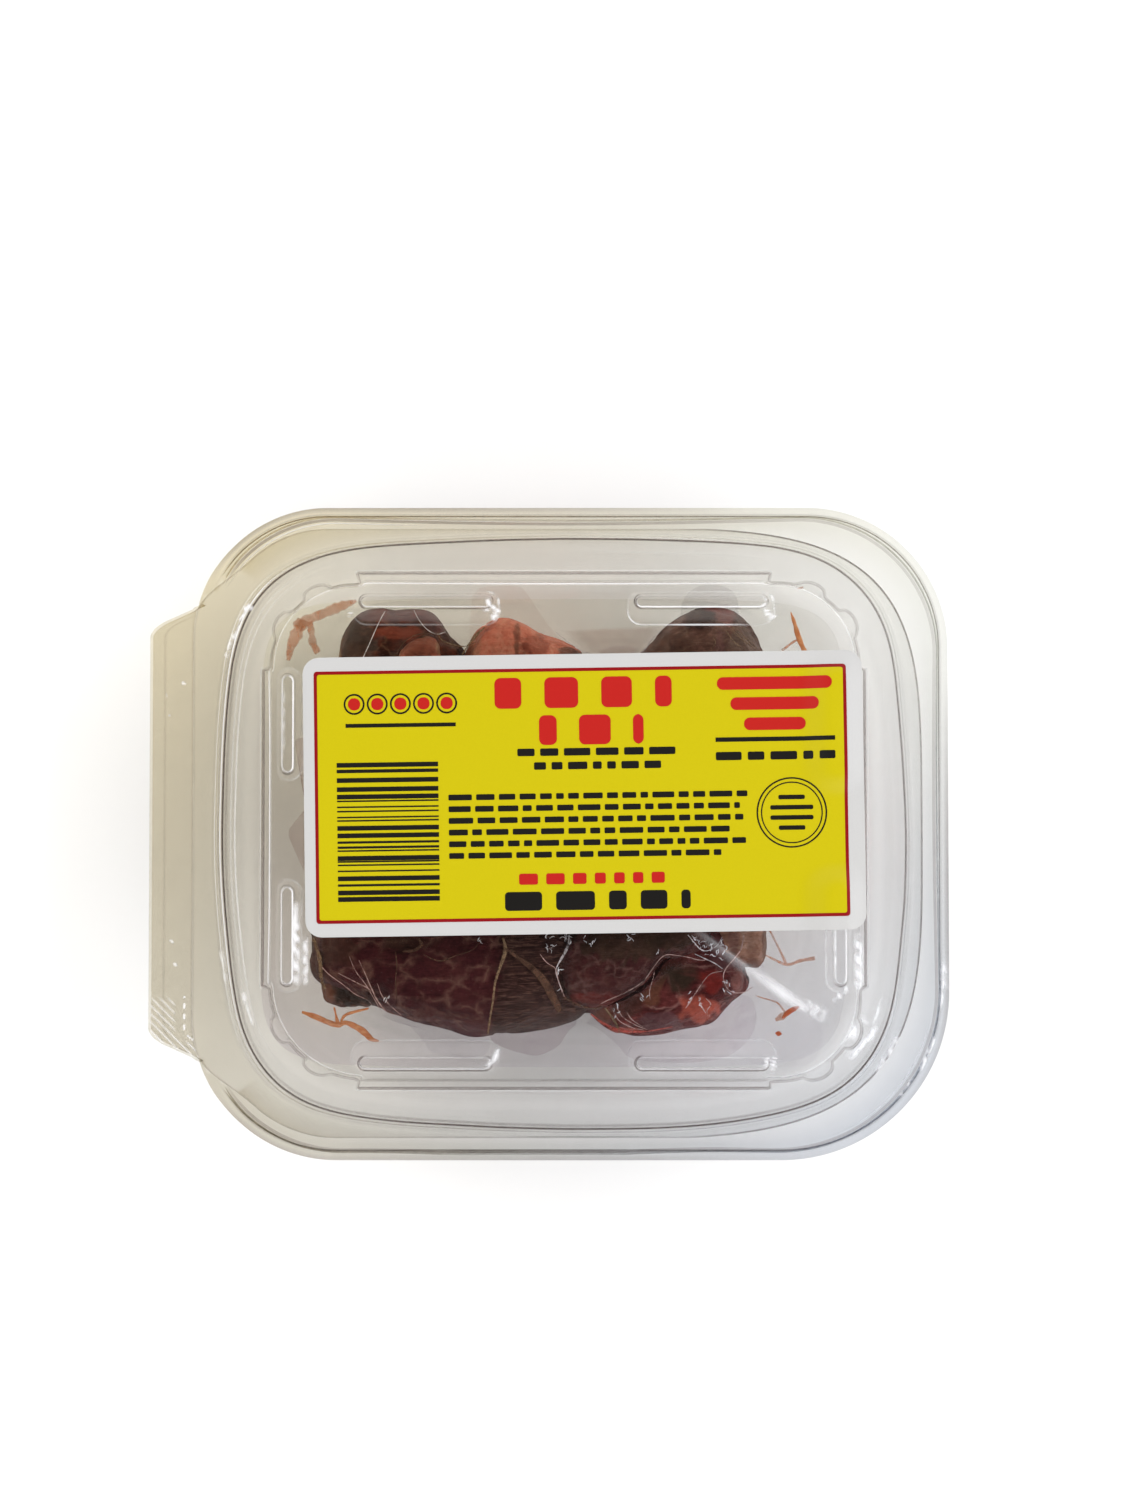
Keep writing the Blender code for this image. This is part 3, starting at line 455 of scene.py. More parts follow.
def rim_reach(angles, inset):
    radius = by_corner(angles, FAR_RADII, NEAR_RADII) - inset
    return rounded_reach(angles, REACH_LEFT - inset, REACH_RIGHT - inset, REACH_SIDE - inset, radius)


def panel_plain(angles, inset):
    """The raised panel's rounded rectangle, moved in by inset, with its near left corner cut further."""
    radius = np.maximum(by_corner(angles, (15.5, 15.0), (17.5, 15.0)) * MM - inset, 2.0 * MM)
    return rounded_reach(angles, PANEL_HALF[0] - inset, PANEL_HALF[0] - inset, PANEL_HALF[1] - inset, radius)


def panel_corner(angles):
    """1 round the panel's corners and 0 along its straight sides."""
    reach = panel_plain(angles, 0.0)
    x = np.abs(reach * np.cos(angles))
    y = np.abs(reach * np.sin(angles))
    end = np.where(np.sin(angles) > 0, PANEL_STRAIGHT[1], PANEL_STRAIGHT[2])
    return smooth(x, PANEL_STRAIGHT[0], PANEL_STRAIGHT[0] + 1.4 * MM) * smooth(y, end, end + 1.4 * MM)


def panel_reach(angles, inset):
    """The raised panel's outline with half-round scallops standing out at its corners."""
    reach = panel_plain(angles, inset) - 0.5 * MM * panel_corner(angles) * (np.cos(angles) < 0)
    x = BODY_X + reach * np.cos(angles)
    y = reach * np.sin(angles)
    for scallop_x, scallop_y in SCALLOPS:
        away = np.hypot(x - scallop_x * MM, y - scallop_y * MM) / (3.0 * MM)
        reach = reach + 1.5 * MM * np.sqrt(np.clip(1.0 - away ** 2, 0.0, None))
    return reach


def panel_foot(angles):
    """Run of the panel's side square to it: longest on the far side, and 0.4 mm round the corners."""
    sine = np.sin(angles)
    straight = 1.35 + 0.7 * smooth(sine, 0.70, 0.78) + 0.2 * smooth(-sine, 0.70, 0.78)
    straight -= 0.15 * lit_arc(angles, 180.0, 44.0)
    straight /= np.maximum(np.abs(sine), np.abs(np.cos(angles)))
    corner = panel_corner(angles)
    return (straight * (1.0 - corner) + 0.4 * corner) * MM


def hinge_share(angles):
    """1 along the hinge, where the rim is flat, and 0 on the rest of the rim."""
    y = np.abs(rim_reach(angles, 0.0) * np.sin(angles))
    return np.where(np.cos(angles) < 0, fall(y, HINGE_HALF + 5.0 * MM, HINGE_HALF + 13.0 * MM), 0.0)


def lid_edge_reach(angles):
    """The lid's edge: bowed on the right, inside the guard ridge on the left, and out to the hinge's fold."""
    inside_ridge = rim_reach(angles, 4.2 * MM)
    bowed = bowed_reach(angles, LID_EDGE_HALF, by_corner(angles, FAR_EDGE_POWERS, NEAR_EDGE_POWERS))
    bowed = np.minimum(bowed, inside_ridge)
    mix = smooth(np.cos(angles), -0.45, -0.1)
    reach = inside_ridge * (1.0 - mix) + bowed * mix
    y = np.abs(rim_reach(angles, 0.0) * np.sin(angles))
    fold = (fall(y, HINGE_HALF - 1.0 * MM, HINGE_HALF + 12.0 * MM)) * (np.cos(angles) < 0)
    outer = rim_reach(angles, 0.0)
    return np.minimum(reach * (1.0 - fold) + outer * fold, outer)


def lug_places(x, y, slopes):
    """For the long and then the short lugs: metres past the edge of the flat top, the run of the side there,
    and the way there from the lug's axis, as shares to the panel's middle and to its right or far end."""
    for kind, (half, lug_x, lug_y) in enumerate((LONG_LUG, SHORT_LUG)):
        inward, outward, endways = slopes[kind]
        if kind == 0:
            along = np.abs(x - BODY_X) - lug_x
            across = np.abs(y) - lug_y - np.where(y < 0, 0.4 * MM, -0.3 * MM)
            turned = np.sign(x - BODY_X)
        else:
            along = np.abs(y) - lug_y
            across = np.abs(x - BODY_X) - lug_x
            turned = np.sign(y)
        beyond = np.maximum(np.abs(along) - (half - LUG_FLAT), 0.0)
        away = np.maximum(np.hypot(beyond, across), 0.001 * MM)
        run = np.hypot(np.where(across < 0, inward, outward) * across, endways * beyond) / away
        endward = np.sign(along) * turned * beyond / away
        yield kind, away - LUG_FLAT, np.maximum(run, 0.1 * MM), -across / away, endward


def lug_height(x, y, slopes=LUG_SLOPES, kinds=(0, 1)):
    """Height of the eight stacking lugs: full on each flat top, with a smooth fall down each side."""
    height = np.zeros_like(x)
    for kind, past, run, _, _ in lug_places(x, y, slopes):
        if kind in kinds:
            height = np.maximum(height, LUG_RISE * (fall(past, 0.0, run)))
    return height


def eased(stations, steps=5):
    """Rings along a profile, each corner eased by a quadratic curve that starts and ends at its ease from it.

    A station is a reach for every ray, a height, an ease in mm, and how strong the painted shade and the
    painted highlight of its fold line are."""
    rings, dark, bright = [], [], []
    shape = stations[0][0].shape
    spots = [np.stack((station[0], np.broadcast_to(station[1], shape))) for station in stations]
    for k, (spot, (_, _, ease, deep, lit)) in enumerate(zip(spots, stations)):
        if ease == 0 or k in (0, len(stations) - 1):
            rings.append(spot)
            dark.append(np.broadcast_to(deep, shape))
            bright.append(np.broadcast_to(lit, shape))
            continue
        ends = []
        for other in (spots[k - 1], spots[k + 1]):
            run = other - spot
            length = np.maximum(np.linalg.norm(run, axis=0), 1e-9)
            ends.append(spot + run * np.minimum(ease * MM / length, 0.48))
        for t in np.linspace(0.0, 1.0, steps):
            rings.append((1 - t) ** 2 * ends[0] + 2 * t * (1 - t) * spot + t ** 2 * ends[1])
            share = math.sin(math.pi * t) ** 1.5
            dark.append(np.broadcast_to(deep * share, shape))
            bright.append(np.broadcast_to(lit * share, shape))
    return np.array(rings), np.array(dark), np.array(bright)


def ring_points(angles, rings):
    """World points of rings of reach and height round the mouth's middle."""
    reach, height = rings[:, 0], rings[:, 1]
    return np.stack((BODY_X + reach * np.cos(angles), reach * np.sin(angles), height), axis=-1)


def lit_arc(angles, middle, half):
    """1 at an angle in degrees, falling to 0 half a span of degrees either side."""
    away = np.abs((np.degrees(angles) - middle + 180.0) % 360.0 - 180.0)
    return fall(away, half * 0.35, half)


def flicker(angles, seed, size):
    """A seeded uneven run from 0 to 1 round the pack, size degrees long, for broken fold lines."""
    turn = np.stack((np.cos(angles), np.sin(angles)), axis=-1)
    return held(0.6 + 0.6 * waves(turn, math.radians(size) * 2.0, seed))


def grid_faces(rows, columns, wrap):
    """Quads of a grid of points, with its columns joined in a ring where wrap is set."""
    last = columns if wrap else columns - 1
    r, c = np.meshgrid(np.arange(rows - 1), np.arange(last), indexing="ij")
    n = (c + 1) % columns
    low, high = r * columns, (r + 1) * columns
    return np.stack((low + c, low + n, high + n, high + c), axis=-1).reshape(-1, 4)


def fan_faces(centre, ring, flip):
    """Triangles from a pole to the ring round it."""
    n = np.roll(ring, -1)
    order = (n, ring) if flip else (ring, n)
    return np.stack((np.full_like(ring, centre), *order), axis=-1)


def grid_normals(points, wrap):
    """Unit normals of a grid: the cross product of its two directions, joined in a ring where wrap is set."""
    down = np.gradient(points, axis=0)
    if wrap:
        along = np.roll(points, -1, axis=1) - np.roll(points, 1, axis=1)
    else:
        along = np.gradient(points, axis=1)
    normal = np.cross(along, down)
    return normal / np.maximum(np.linalg.norm(normal, axis=-1, keepdims=True), 1e-12)


def add_item(name, data):
    """An object of this name in the scene."""
    item = bpy.data.objects.new(name, data)
    bpy.context.scene.collection.objects.link(item)
    return item


class Piece:
    """Collects points and faces, then makes one smooth-shaded object of them."""

    def __init__(self):
        self.points = []
        self.faces = []
        self.count = 0

    def add(self, points, *face_sets):
        flat = points.reshape(-1, 3)
        self.points.append(flat)
        for faces in face_sets:
            self.faces.extend((faces + self.count).tolist())
        self.count += len(flat)

    def add_lump(self, rows):
        """A closed body from rows of rings between two poles, the middles of its first and last ring."""
        count, around = rows.shape[:2]
        points = np.vstack((rows.reshape(-1, 3), rows[0].mean(axis=0), rows[-1].mean(axis=0)))
        base = count * around
        first = np.arange(around)
        self.add(points, grid_faces(count, around, True), fan_faces(base, first, True),
                 fan_faces(base + 1, first + (count - 1) * around, False))
        return points

    def add_plate(self, top, bottom):
        """A closed thin body from two open grids with the same rows and columns."""
        rows, columns = top.shape[:2]
        total = rows * columns
        index = np.arange(total).reshape(rows, columns)
        edge = np.concatenate((index[0, :-1], index[:-1, -1], index[-1, :0:-1], index[:0:-1, 0]))
        after = np.roll(edge, -1)
        walls = np.stack((edge, edge + total, after + total, after), axis=-1)
        faces = grid_faces(rows, columns, False)
        self.add(np.vstack((top.reshape(-1, 3), bottom.reshape(-1, 3))), faces, faces[:, ::-1] + total, walls)

    def add_lens(self, flat, level, rise):
        """A plate over points seen from above, with its faces this rise over and under a level."""
        heights = (level + rise, level - rise)
        self.add_plate(*(np.concatenate((flat, height[..., None]), axis=-1) for height in heights))

    def make(self, name, material, sharp=None, values=None):
        mesh = bpy.data.meshes.new(name)
        mesh.from_pydata(np.vstack(self.points), [], self.faces)
        mesh.shade_smooth()
        if sharp is not None:
            mesh.set_sharp_from_angle(angle=math.radians(sharp))
        for key, data in (values or {}).items():
            data = np.asarray(data, np.float32)
            kind, field = ("FLOAT", "value") if data.ndim == 1 else ("FLOAT_VECTOR", "vector")
            mesh.attributes.new(key, kind, "POINT").data.foreach_set(field, data.ravel())
        mesh.validate()
        mesh.materials.append(material)
        if volume(mesh) < 0:
            mesh.flip_normals()
        return add_item(name, mesh)


def volume(mesh):
    """Signed volume inside a closed mesh: a sixth of the sum of a . (b x c) over its triangles."""
    mesh.calc_loop_triangles()
    corners = np.empty(len(mesh.loop_triangles) * 3, np.int32)
    mesh.loop_triangles.foreach_get("vertices", corners)
    points = np.empty(len(mesh.vertices) * 3, np.float32)
    mesh.vertices.foreach_get("co", points)
    a, b, c = points.reshape(-1, 3)[corners.reshape(-1, 3)].transpose(1, 0, 2).astype(float)
    return float(np.sum(a * np.cross(b, c)) / 6.0)


def place(item, node, slot):
    """Hands a finished piece to the frame: hangs it on the root body and hides the node it stands for. The
    slot, its finish, is not used.
    """
    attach(item, "root")
    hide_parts(node)
    return item


def add_shell(piece, top, values):
    """A wall under a surface given as rings from its edge to its middle, with a half-round edge.

    Returns each value of the rings spread over both faces of the wall."""
    normal = grid_normals(top, True)
    under = top - normal * SHEET
    outward = top[0] - top[1]
    outward /= np.maximum(np.linalg.norm(outward, axis=-1, keepdims=True), 1e-12)
    middle = (top[0] + under[0]) / 2
    edge = [middle + normal[0] * SHEET / 2 * math.cos(t) + outward * SHEET / 2 * math.sin(t)
            for t in (math.pi * 0.25, math.pi * 0.5, math.pi * 0.75)]
    piece.add_lump(np.concatenate((under[::-1], np.array(edge[::-1]), top)))
    spread = {}
    for name, value in values.items():
        whole = np.concatenate((value[::-1], np.repeat(value[:1], 3, axis=0), value))
        spread[name] = np.concatenate((whole.ravel(), value[-1, :1], value[-1, :1]))
    return spread


def set_stops(ramp, stops):
    """Gives a colour ramp its stops: the place of each, and its grey or colour."""
    while len(ramp.elements) < len(stops):
        ramp.elements.new(0.5)
    for element, (spot, color) in zip(ramp.elements, stops):
        element.position = spot
        shade = (color, color, color) if isinstance(color, (int, float)) else tuple(color)[:3]
        element.color = (*shade, 1.0)


class Finish:
    """A material whose nodes are added and joined in one call each."""

    def __init__(self, name):
        old = bpy.data.materials.get(name)
        if old is not None:
            bpy.data.materials.remove(old)
        self.material = bpy.data.materials.new(name)
        self.material.use_nodes = True
        self.tree = self.material.node_tree
        self.tree.nodes.clear()

    def add(self, kind, settings=None, **inputs):
        """A node of this kind, with its own settings, and with numbers, colours or sockets as its inputs."""
        node = self.tree.nodes.new("ShaderNode" + kind)
        for key, value in (settings or {}).items():
            setattr(node, key, value)
        for key, value in inputs.items():
            numbered = key[0] == "i" and key[1:].isdigit()
            socket = node.inputs[int(key[1:]) if numbered else key.replace("_", " ")]
            if isinstance(value, bpy.types.NodeSocket):
                self.tree.links.new(value, socket)
            elif socket.type == "RGBA":
                socket.default_value = (*tuple(value)[:3], 1.0)
            else:
                socket.default_value = value
        return node

    def value(self, name, output="Fac"):
        return self.add("Attribute", {"attribute_name": name}).outputs[output]

    def line(self, field, spot, half, share):
        """A thin line where a field of the mesh passes a value, as strong as another field says."""
        away = self.math("ABSOLUTE", self.math("SUBTRACT", self.value(field), spot))
        core = self.math("MULTIPLY_ADD", away, -1.0 / half, 1.0, clamp=True)
        return self.math("MULTIPLY", core, self.value(share))

    def math(self, operation, first, second=0.0, third=0.0, clamp=False):
        settings = {"operation": operation, "use_clamp": clamp}
        return self.add("Math", settings, i0=first, i1=second, i2=third).outputs[0]

    def ramp(self, factor, stops):
        """A colour ramp of (place, grey or colour) stops."""
        node = self.add("ValToRGB", i0=factor)
        set_stops(node.color_ramp, stops)
        return node.outputs["Color"]

    def mix(self, factor, first, second, blend="MIX"):
        settings = {"data_type": "RGBA", "blend_type": blend}
        return self.add("Mix", settings, i0=factor, i6=first, i7=second).outputs[2]

    def times(self, first, second):
        return self.mix(1.0, first, second, "MULTIPLY")

    def place(self, scale=(1.0, 1.0, 1.0), turn=0.0):
        """Object coordinates in mm, turned about Z by some degrees and scaled."""
        spot = self.add("TexCoord").outputs["Object"]
        size = tuple(part / MM for part in scale)
        angles = (0.0, 0.0, math.radians(turn))
        return self.add("Mapping", Vector=spot, Scale=size, Rotation=angles).outputs[0]

    def noise(self, vector, scale, detail=2.0, distortion=0.0, roughness=0.5):
        return self.add("TexNoise", Vector=vector, Scale=scale, Detail=detail, Distortion=distortion,
                        Roughness=roughness).outputs["Fac"]

    def bump(self, height, strength, distance):
        return self.add("Bump", Strength=strength, Distance=distance, Height=height).outputs[0]

    def facing(self, normal):
        """0 where the surface faces the viewer, and 1 edge on."""
        return self.add("LayerWeight", Blend=0.5, Normal=normal).outputs["Facing"]

    def clear(self, color):
        return self.add("BsdfTransparent", Color=color).outputs[0]

    def matte(self, color, **inputs):
        return self.add("BsdfDiffuse", Color=color, **inputs).outputs[0]

    def paint(self, color, roughness, **inputs):
        return self.add("BsdfPrincipled", Base_Color=color, Roughness=roughness, **inputs).outputs[0]

    def blend(self, share, first, second):
        return self.add("MixShader", i0=share, i1=first, i2=second).outputs[0]

    def coated(self, body, normal, facing, roughness, least, most):
        """The body under a gloss that mirrors its least share head on, and its most at a grazing angle."""
        gloss = self.add("BsdfGlossy", Color=(1.0, 1.0, 1.0), Roughness=roughness, Normal=normal).outputs[0]
        share = self.math("MULTIPLY_ADD", self.math("POWER", facing, 5.0), most - least, least)
        return self.done(self.blend(share, body, gloss))

    def done(self, shader):
        self.add("OutputMaterial", Surface=shader)
        return self.material


def painted_pack_tone(finish, look):
    """The tone seen through the pack, with painted light and shade: warm at the left, neutral at the right,
    darker near the viewer and lighter at the far side.
    """
    split = finish.add("SeparateXYZ", Vector=finish.place()).outputs
    across, up = (finish.math("MULTIPLY_ADD", split[k], 0.5 / TONE_HALF[k], 0.5, clamp=True) for k in (0, 1))
    side = finish.mix(across, look.painted_tone_left, look.painted_tone_right)
    lift = finish.mix(up, look.painted_tone_near, look.painted_tone_far)
    mottle = finish.ramp(finish.noise(finish.place(), 0.32, 4.0, 0.5), ((0.3, 0.965), (0.7, 1.0)))
    return finish.times(finish.times(side, lift), mottle)


def clear_plastic(name, look, haze, ripple):
    """Thin clear plastic: its share of the pack's tone, painted dark and bright fold lines and a sharp gloss.

    The tint value is the power of the tone that one face takes. The dark fold value paints shade along the
    folds and the bright one paints highlights there, with a white diffuse."""
    finish = Finish(name)
    normal = finish.bump(finish.noise(finish.place(), 0.16, 3.0, 0.4), ripple, 0.6 * MM)
    facing = finish.facing(normal)
    # Painted shade and painted highlights along the folds, and along the lugs' edges and feet
    crease = finish.math("MAXIMUM", finish.value("crease"), finish.line("lug_edge", 0.35, 0.22, "edge_dark"))
    sheen = finish.math("MAXIMUM", finish.value("sheen"), finish.line("lug_edge", 0.0, 0.2, "edge_light"))
    sheen = finish.math("MAXIMUM", sheen, finish.line("lug_foot", -0.05, 0.22, "foot_light"))
    tone = finish.add("Gamma", Color=painted_pack_tone(finish, look), Gamma=finish.value("tint")).outputs[0]
    edge_on = finish.ramp(facing, ((0.0, 1.0), (0.55, 0.99), (0.9, 0.93), (1.0, 0.8)))
    # The dark fold value dims what passes through towards the fold colour: painted shade
    lined = finish.mix(crease, finish.times(tone, edge_on), look.fold_shade_color)
    milk = finish.matte(look.plastic_haze_and_highlight, Normal=normal)
    # The white diffuse at the bright value's share is a painted highlight; at the haze share it is the
    # plastic's own haze
    body = finish.blend(finish.math("MAXIMUM", sheen, haze), finish.clear(lined), milk)
    return finish.coated(body, normal, facing, 0.045, 0.03, 0.22)


def pouch_film(look):
    """Thin vacuum film: nearly clear, with a milky cast where the milk value says and a wet gloss."""
    finish = Finish("vacuum_film")
    spot = finish.place()
    crinkle = finish.noise(spot, 0.55, 3.0, 1.2)
    height = finish.math("MULTIPLY_ADD", finish.noise(spot, 2.2, 2.0, 0.8), 0.25, crinkle)
    normal = finish.bump(height, 0.25, 0.5 * MM)
    facing = finish.facing(normal)
    edge_on = finish.ramp(facing, ((0.0, 0.995), (0.6, 0.99), (1.0, 0.92)))
    clear = finish.clear(finish.times(edge_on, finish.value("film_tone", "Vector")))
    body = finish.blend(finish.value("milk"), clear, finish.matte(look.film_milk, Normal=normal))
    return finish.coated(body, normal, facing, 0.09, 0.012, 0.12)


def wet_film(name, tint):
    """A wet patch between two sheets: clear, and its two faces together let this share of each colour by."""
    finish = Finish(name)
    one_face = [math.sqrt(part) for part in tint]
    cloud = finish.noise(finish.place(), 0.25, 4.0, 0.8)
    shade = finish.mix(0.3, one_face, finish.ramp(cloud, ((0.3, one_face), (0.7, (0.985, 0.98, 0.975)))))
    return finish.done(finish.clear(finish.mix(finish.value("depth"), (1.0, 1.0, 1.0), shade)))


def stained_film(name, color, share, patch_scale=0.35, thin=0.15):
    """A flat fold or smear between the sheets of film: see-through, with some of its colour, which on some
    folds is a painted highlight or shadow.
    """
    finish = Finish(name)
    patchy = finish.noise(finish.place(), patch_scale, 3.0, 0.6)
    amount = finish.math("MULTIPLY", finish.ramp(patchy, ((0.3, thin), (0.62, 1.0))), share)
    amount = finish.math("MULTIPLY", amount, finish.value("fade"))
    return finish.done(finish.blend(amount, finish.clear((0.97, 0.965, 0.96)), finish.matte(color)))


def label_finish(name, color, roughness):
    """Printed label stock: even ink with a faint grain of the paper under a soft coat."""
    finish = Finish(name)
    grain = finish.noise(finish.place(), 3.5, 3.0)
    tinted = finish.times(color, finish.ramp(grain, ((0.3, 0.965), (0.7, 1.0))))
    normal = finish.bump(grain, 0.04, 0.05 * MM)
    return finish.done(finish.paint(tinted, roughness, Normal=normal, Specular_IOR_Level=0.35))


# Finishes of the pork: dark, mid and light meat, fat lines, how wide the lines are, and fibre stretch
PORK_FINISHES = {
    "marbled": ((0.026, 0.006, 0.008), (0.058, 0.013, 0.016), (0.088, 0.025, 0.025), (0.17, 0.085, 0.068),
        0.9),
    "dark": ((0.03, 0.01, 0.01), (0.07, 0.021, 0.021), (0.12, 0.05, 0.04), (0.17, 0.095, 0.08), 0.3),
    "charred": ((0.052, 0.025, 0.02), (0.118, 0.055, 0.043), (0.21, 0.118, 0.09), (0.28, 0.17, 0.125),
        0.25),
    "crusted": ((0.02, 0.007, 0.006), (0.055, 0.017, 0.012), (0.2, 0.045, 0.026), (0.24, 0.13, 0.08), 0.15),
    "glazed": ((0.19, 0.055, 0.038), (0.53, 0.155, 0.103), (0.68, 0.265, 0.185), (0.58, 0.33, 0.23), 0.12),
    "rosy": ((0.024, 0.008, 0.008), (0.1, 0.02, 0.02), (0.24, 0.062, 0.055), (0.46, 0.24, 0.21), 0.25),
    "fatty": ((0.2, 0.085, 0.055), (0.36, 0.19, 0.135), (0.5, 0.32, 0.25), (0.58, 0.42, 0.34), 0.2),
}
# Stops of the stringy dark meat, and how far its grain is turned, in degrees
STRING_STOPS = ((0.4, (0.026, 0.012, 0.011)), (0.52, (0.055, 0.027, 0.023)), (0.62, (0.125, 0.07, 0.055)))
GRAIN_TURN = 24.0
# Tones that lie in soft spots on the pork
SPOT_TONES = {
    "olive": (0.055, 0.034, 0.022), "salmon": (0.48, 0.105, 0.07), "red": (0.24, 0.026, 0.021),
    "mauve": (0.17, 0.075, 0.08), "tan": (0.32, 0.2, 0.12), "umber": (0.2, 0.075, 0.045),
    "taupe": (0.24, 0.155, 0.125), "brown": (0.085, 0.04, 0.028), "brick": (0.24, 0.055, 0.034),
    "black": (0.012, 0.008, 0.006), "pink": (0.26, 0.105, 0.09), "grey": (0.13, 0.1, 0.09),
}
# Soft spots of each piece: X, Y, half sizes in mm, tone and share
PORK_SPOTS = {
    "pork_lower_left": ((-44, -24, 1.8, 7.5, "brown", 0.7), (0.5, -27.5, 2.6, 7, "mauve", 0.55),
        (-24, -20.5, 7, 1.8, "olive", 0.6), (-38.5, -21.5, 4, 3, "brown", 0.6),
        (-12, -36, 6, 1.4, "mauve", 0.3), (-33.5, -30.5, 3, 1.6, "black", 0.5)),
    "pork_lower_knob": ((-36.2, -29.3, 3.6, 3, "black", 0.8), (-41, -29, 1.5, 3.4, "umber", 0.8),
        (-38.6, -27.8, 1.6, 1.4, "brown", 0.7)),
    "pork_upper_left": ((-35, 35.5, 3.8, 6, "grey", 0.55), (-35.5, 33, 2.2, 2.4, "brown", 0.7),
        (-29, 40.5, 9, 1.8, "mauve", 0.6), (-27.5, 36.6, 5, 1.6, "brick", 0.9),
        (-21, 39, 2.2, 3, "mauve", 0.5), (-39.6, 34.5, 1.2, 6, "tan", 0.85)),
    "pork_upper_nub": ((-24, 33.8, 3.6, 2.4, "brick", 0.45), (-28, 33.5, 1, 2.4, "tan", 0.5),
        (-24, 33.5, 4.4, 3.6, "brown", 0.45), (-20, 34.6, 0.8, 2.6, "tan", 0.6)),
    "pork_upper_middle": ((-6, 35.6, 0.55, 3.6, "brown", 0.6), (-13.4, 34.6, 1, 3.6, "tan", 0.45),
        (-10.5, 35.5, 3.6, 3.6, "salmon", 0.32), (-2.5, 34.5, 2.6, 2.6, "brick", 0.6),
        (4, 32.8, 3, 1.6, "brown", 0.8), (-15, 33, 1.2, 3, "umber", 0.6)),
    "pork_upper_right": ((27.6, 40, 3.2, 3, "black", 0.6), (32.6, 39.8, 2, 2, "pink", 0.8),
        (35.6, 34.4, 2.8, 4.4, "taupe", 0.85), (31.2, 34, 0.9, 3.4, "mauve", 0.5),
        (22, 34.5, 5, 3, "brown", 0.5), (31.5, 41.6, 3.6, 1, "red", 0.5)),
    "pork_lower_lobe": ((13.5, -20.6, 8.5, 3.4, "olive", 0.75), (9, -30.6, 6, 1.4, "red", 0.35),
        (22, -19.8, 4.5, 2, "olive", 0.7), (3, -20, 1.4, 3, "mauve", 0.35)),
    "pork_lower_right": ((23.2, -26, 4.4, 3.4, "olive", 0.95), (27.6, -32.2, 3.9, 2.5, "salmon", 0.95),
        (29.8, -27.4, 2.2, 2.2, "red", 0.9), (32, -22.4, 3, 3.4, "mauve", 0.8),
        (34.6, -27.4, 1.8, 2, "pink", 0.8), (18.6, -30.2, 1.9, 1.9, "umber", 0.9),
        (14, -31.6, 3.2, 2.6, "brown", 0.6), (20.4, -34.6, 4.4, 1.7, "mauve", 0.75),
        (9.6, -33.4, 2, 1.6, "umber", 0.7), (12, -36.3, 5, 0.7, "salmon", 0.6)),
    "pork_right_end": ((36, -24, 3.5, 1.2, "umber", 0.7), (39.5, -20, 0.6, 5, "brown", 0.6),
        (33.8, -20, 1.2, 3, "mauve", 0.5), (37.4, -21.8, 1.4, 1.6, "umber", 0.5)),
}


def pork_finish(kind):
    """Roast pork: patches from dark to light, fibres along the grain and pale fat lines between the cells.

    The zone value turns the meat dark and stringy, and the spot value lays the spots' tones over it."""
    dark, mid, light, fat, lines = PORK_FINISHES[kind]
    finish = Finish("pork_" + kind + "_meat")
    spot = finish.place()
    patch = finish.noise(spot, 0.13, 4.0, 0.8, 0.6)
    fibre = finish.noise(finish.place((0.35, 2.6, 1.2), -GRAIN_TURN), 0.75, 5.0, 1.3, 0.65)
    tone = finish.math("MULTIPLY_ADD", fibre, 0.4, finish.math("MULTIPLY", patch, 0.65))
    meat = finish.ramp(tone, ((0.36, dark), (0.52, mid), (0.72, light)))
    warp = finish.add("TexNoise", Vector=spot, Scale=0.35, Detail=3.0).outputs["Color"]
    bent = finish.add("VectorMath", {"operation": "MULTIPLY_ADD"}, i0=warp, i1=(3.4, 3.4, 3.4),
                      i2=finish.place((0.7, 1.0, 1.0), GRAIN_TURN)).outputs[0]
    cells = finish.add("TexVoronoi", {"feature": "DISTANCE_TO_EDGE"}, Vector=bent, Scale=0.24)
    stops = ((0.0, 1.0), (0.03 + 0.02 * lines, 0.55), (0.06 + 0.1 * lines, 0.0))
    broken = finish.ramp(finish.noise(spot, 0.28, 4.0), ((0.38, 0.1), (0.56, 1.0)))
    strength = finish.math("MULTIPLY", broken, 0.8 * min(1.0, lines + 0.3))
    vein = finish.math("MULTIPLY", finish.ramp(cells.outputs["Distance"], stops), strength)
    base = finish.mix(vein, meat, fat)
    shown = finish.ramp(tone, ((0.3, 0.55), (0.7, 1.0)))
    spotted = finish.mix(shown, (0.0, 0.0, 0.0), finish.value("spot_tone", "Vector"))
    base = finish.mix(finish.value("spot"), base, spotted)
    base = finish.mix(finish.value("zone"), base, finish.ramp(fibre, STRING_STOPS))
    speck = finish.ramp(finish.noise(spot, 1.7, 2.0), ((0.7, 0.0), (0.76, 1.0)))
    base = finish.mix(finish.math("MULTIPLY", speck, 0.5), base, dark)
    mottle = finish.ramp(finish.noise(spot, 1.1, 4.0, 0.6, 0.6), ((0.36, 0.72), (0.64, 1.0)))
    base = finish.times(base, mottle)
    normal = finish.bump(finish.math("MULTIPLY_ADD", fibre, 0.7, patch), 0.5, 0.7 * MM)
    return finish.done(finish.paint(base, 0.5, Normal=normal, Specular_IOR_Level=0.03))


def juice_finish(name, thin, deep):
    """Set juice: orange red, deeper where it lies thick, and glossy."""
    finish = Finish(name)
    color = finish.ramp(finish.noise(finish.place(), 0.7, 3.0, 0.8), ((0.3, deep), (0.65, thin)))
    return finish.done(finish.blend(0.7, finish.clear((0.93, 0.7, 0.52)), finish.paint(color, 0.25)))


def count_input(name, description, default, low, high):
    """A number of points that the panel shows."""
    return IntProperty(name=name, description=description, default=default, min=low, max=high)


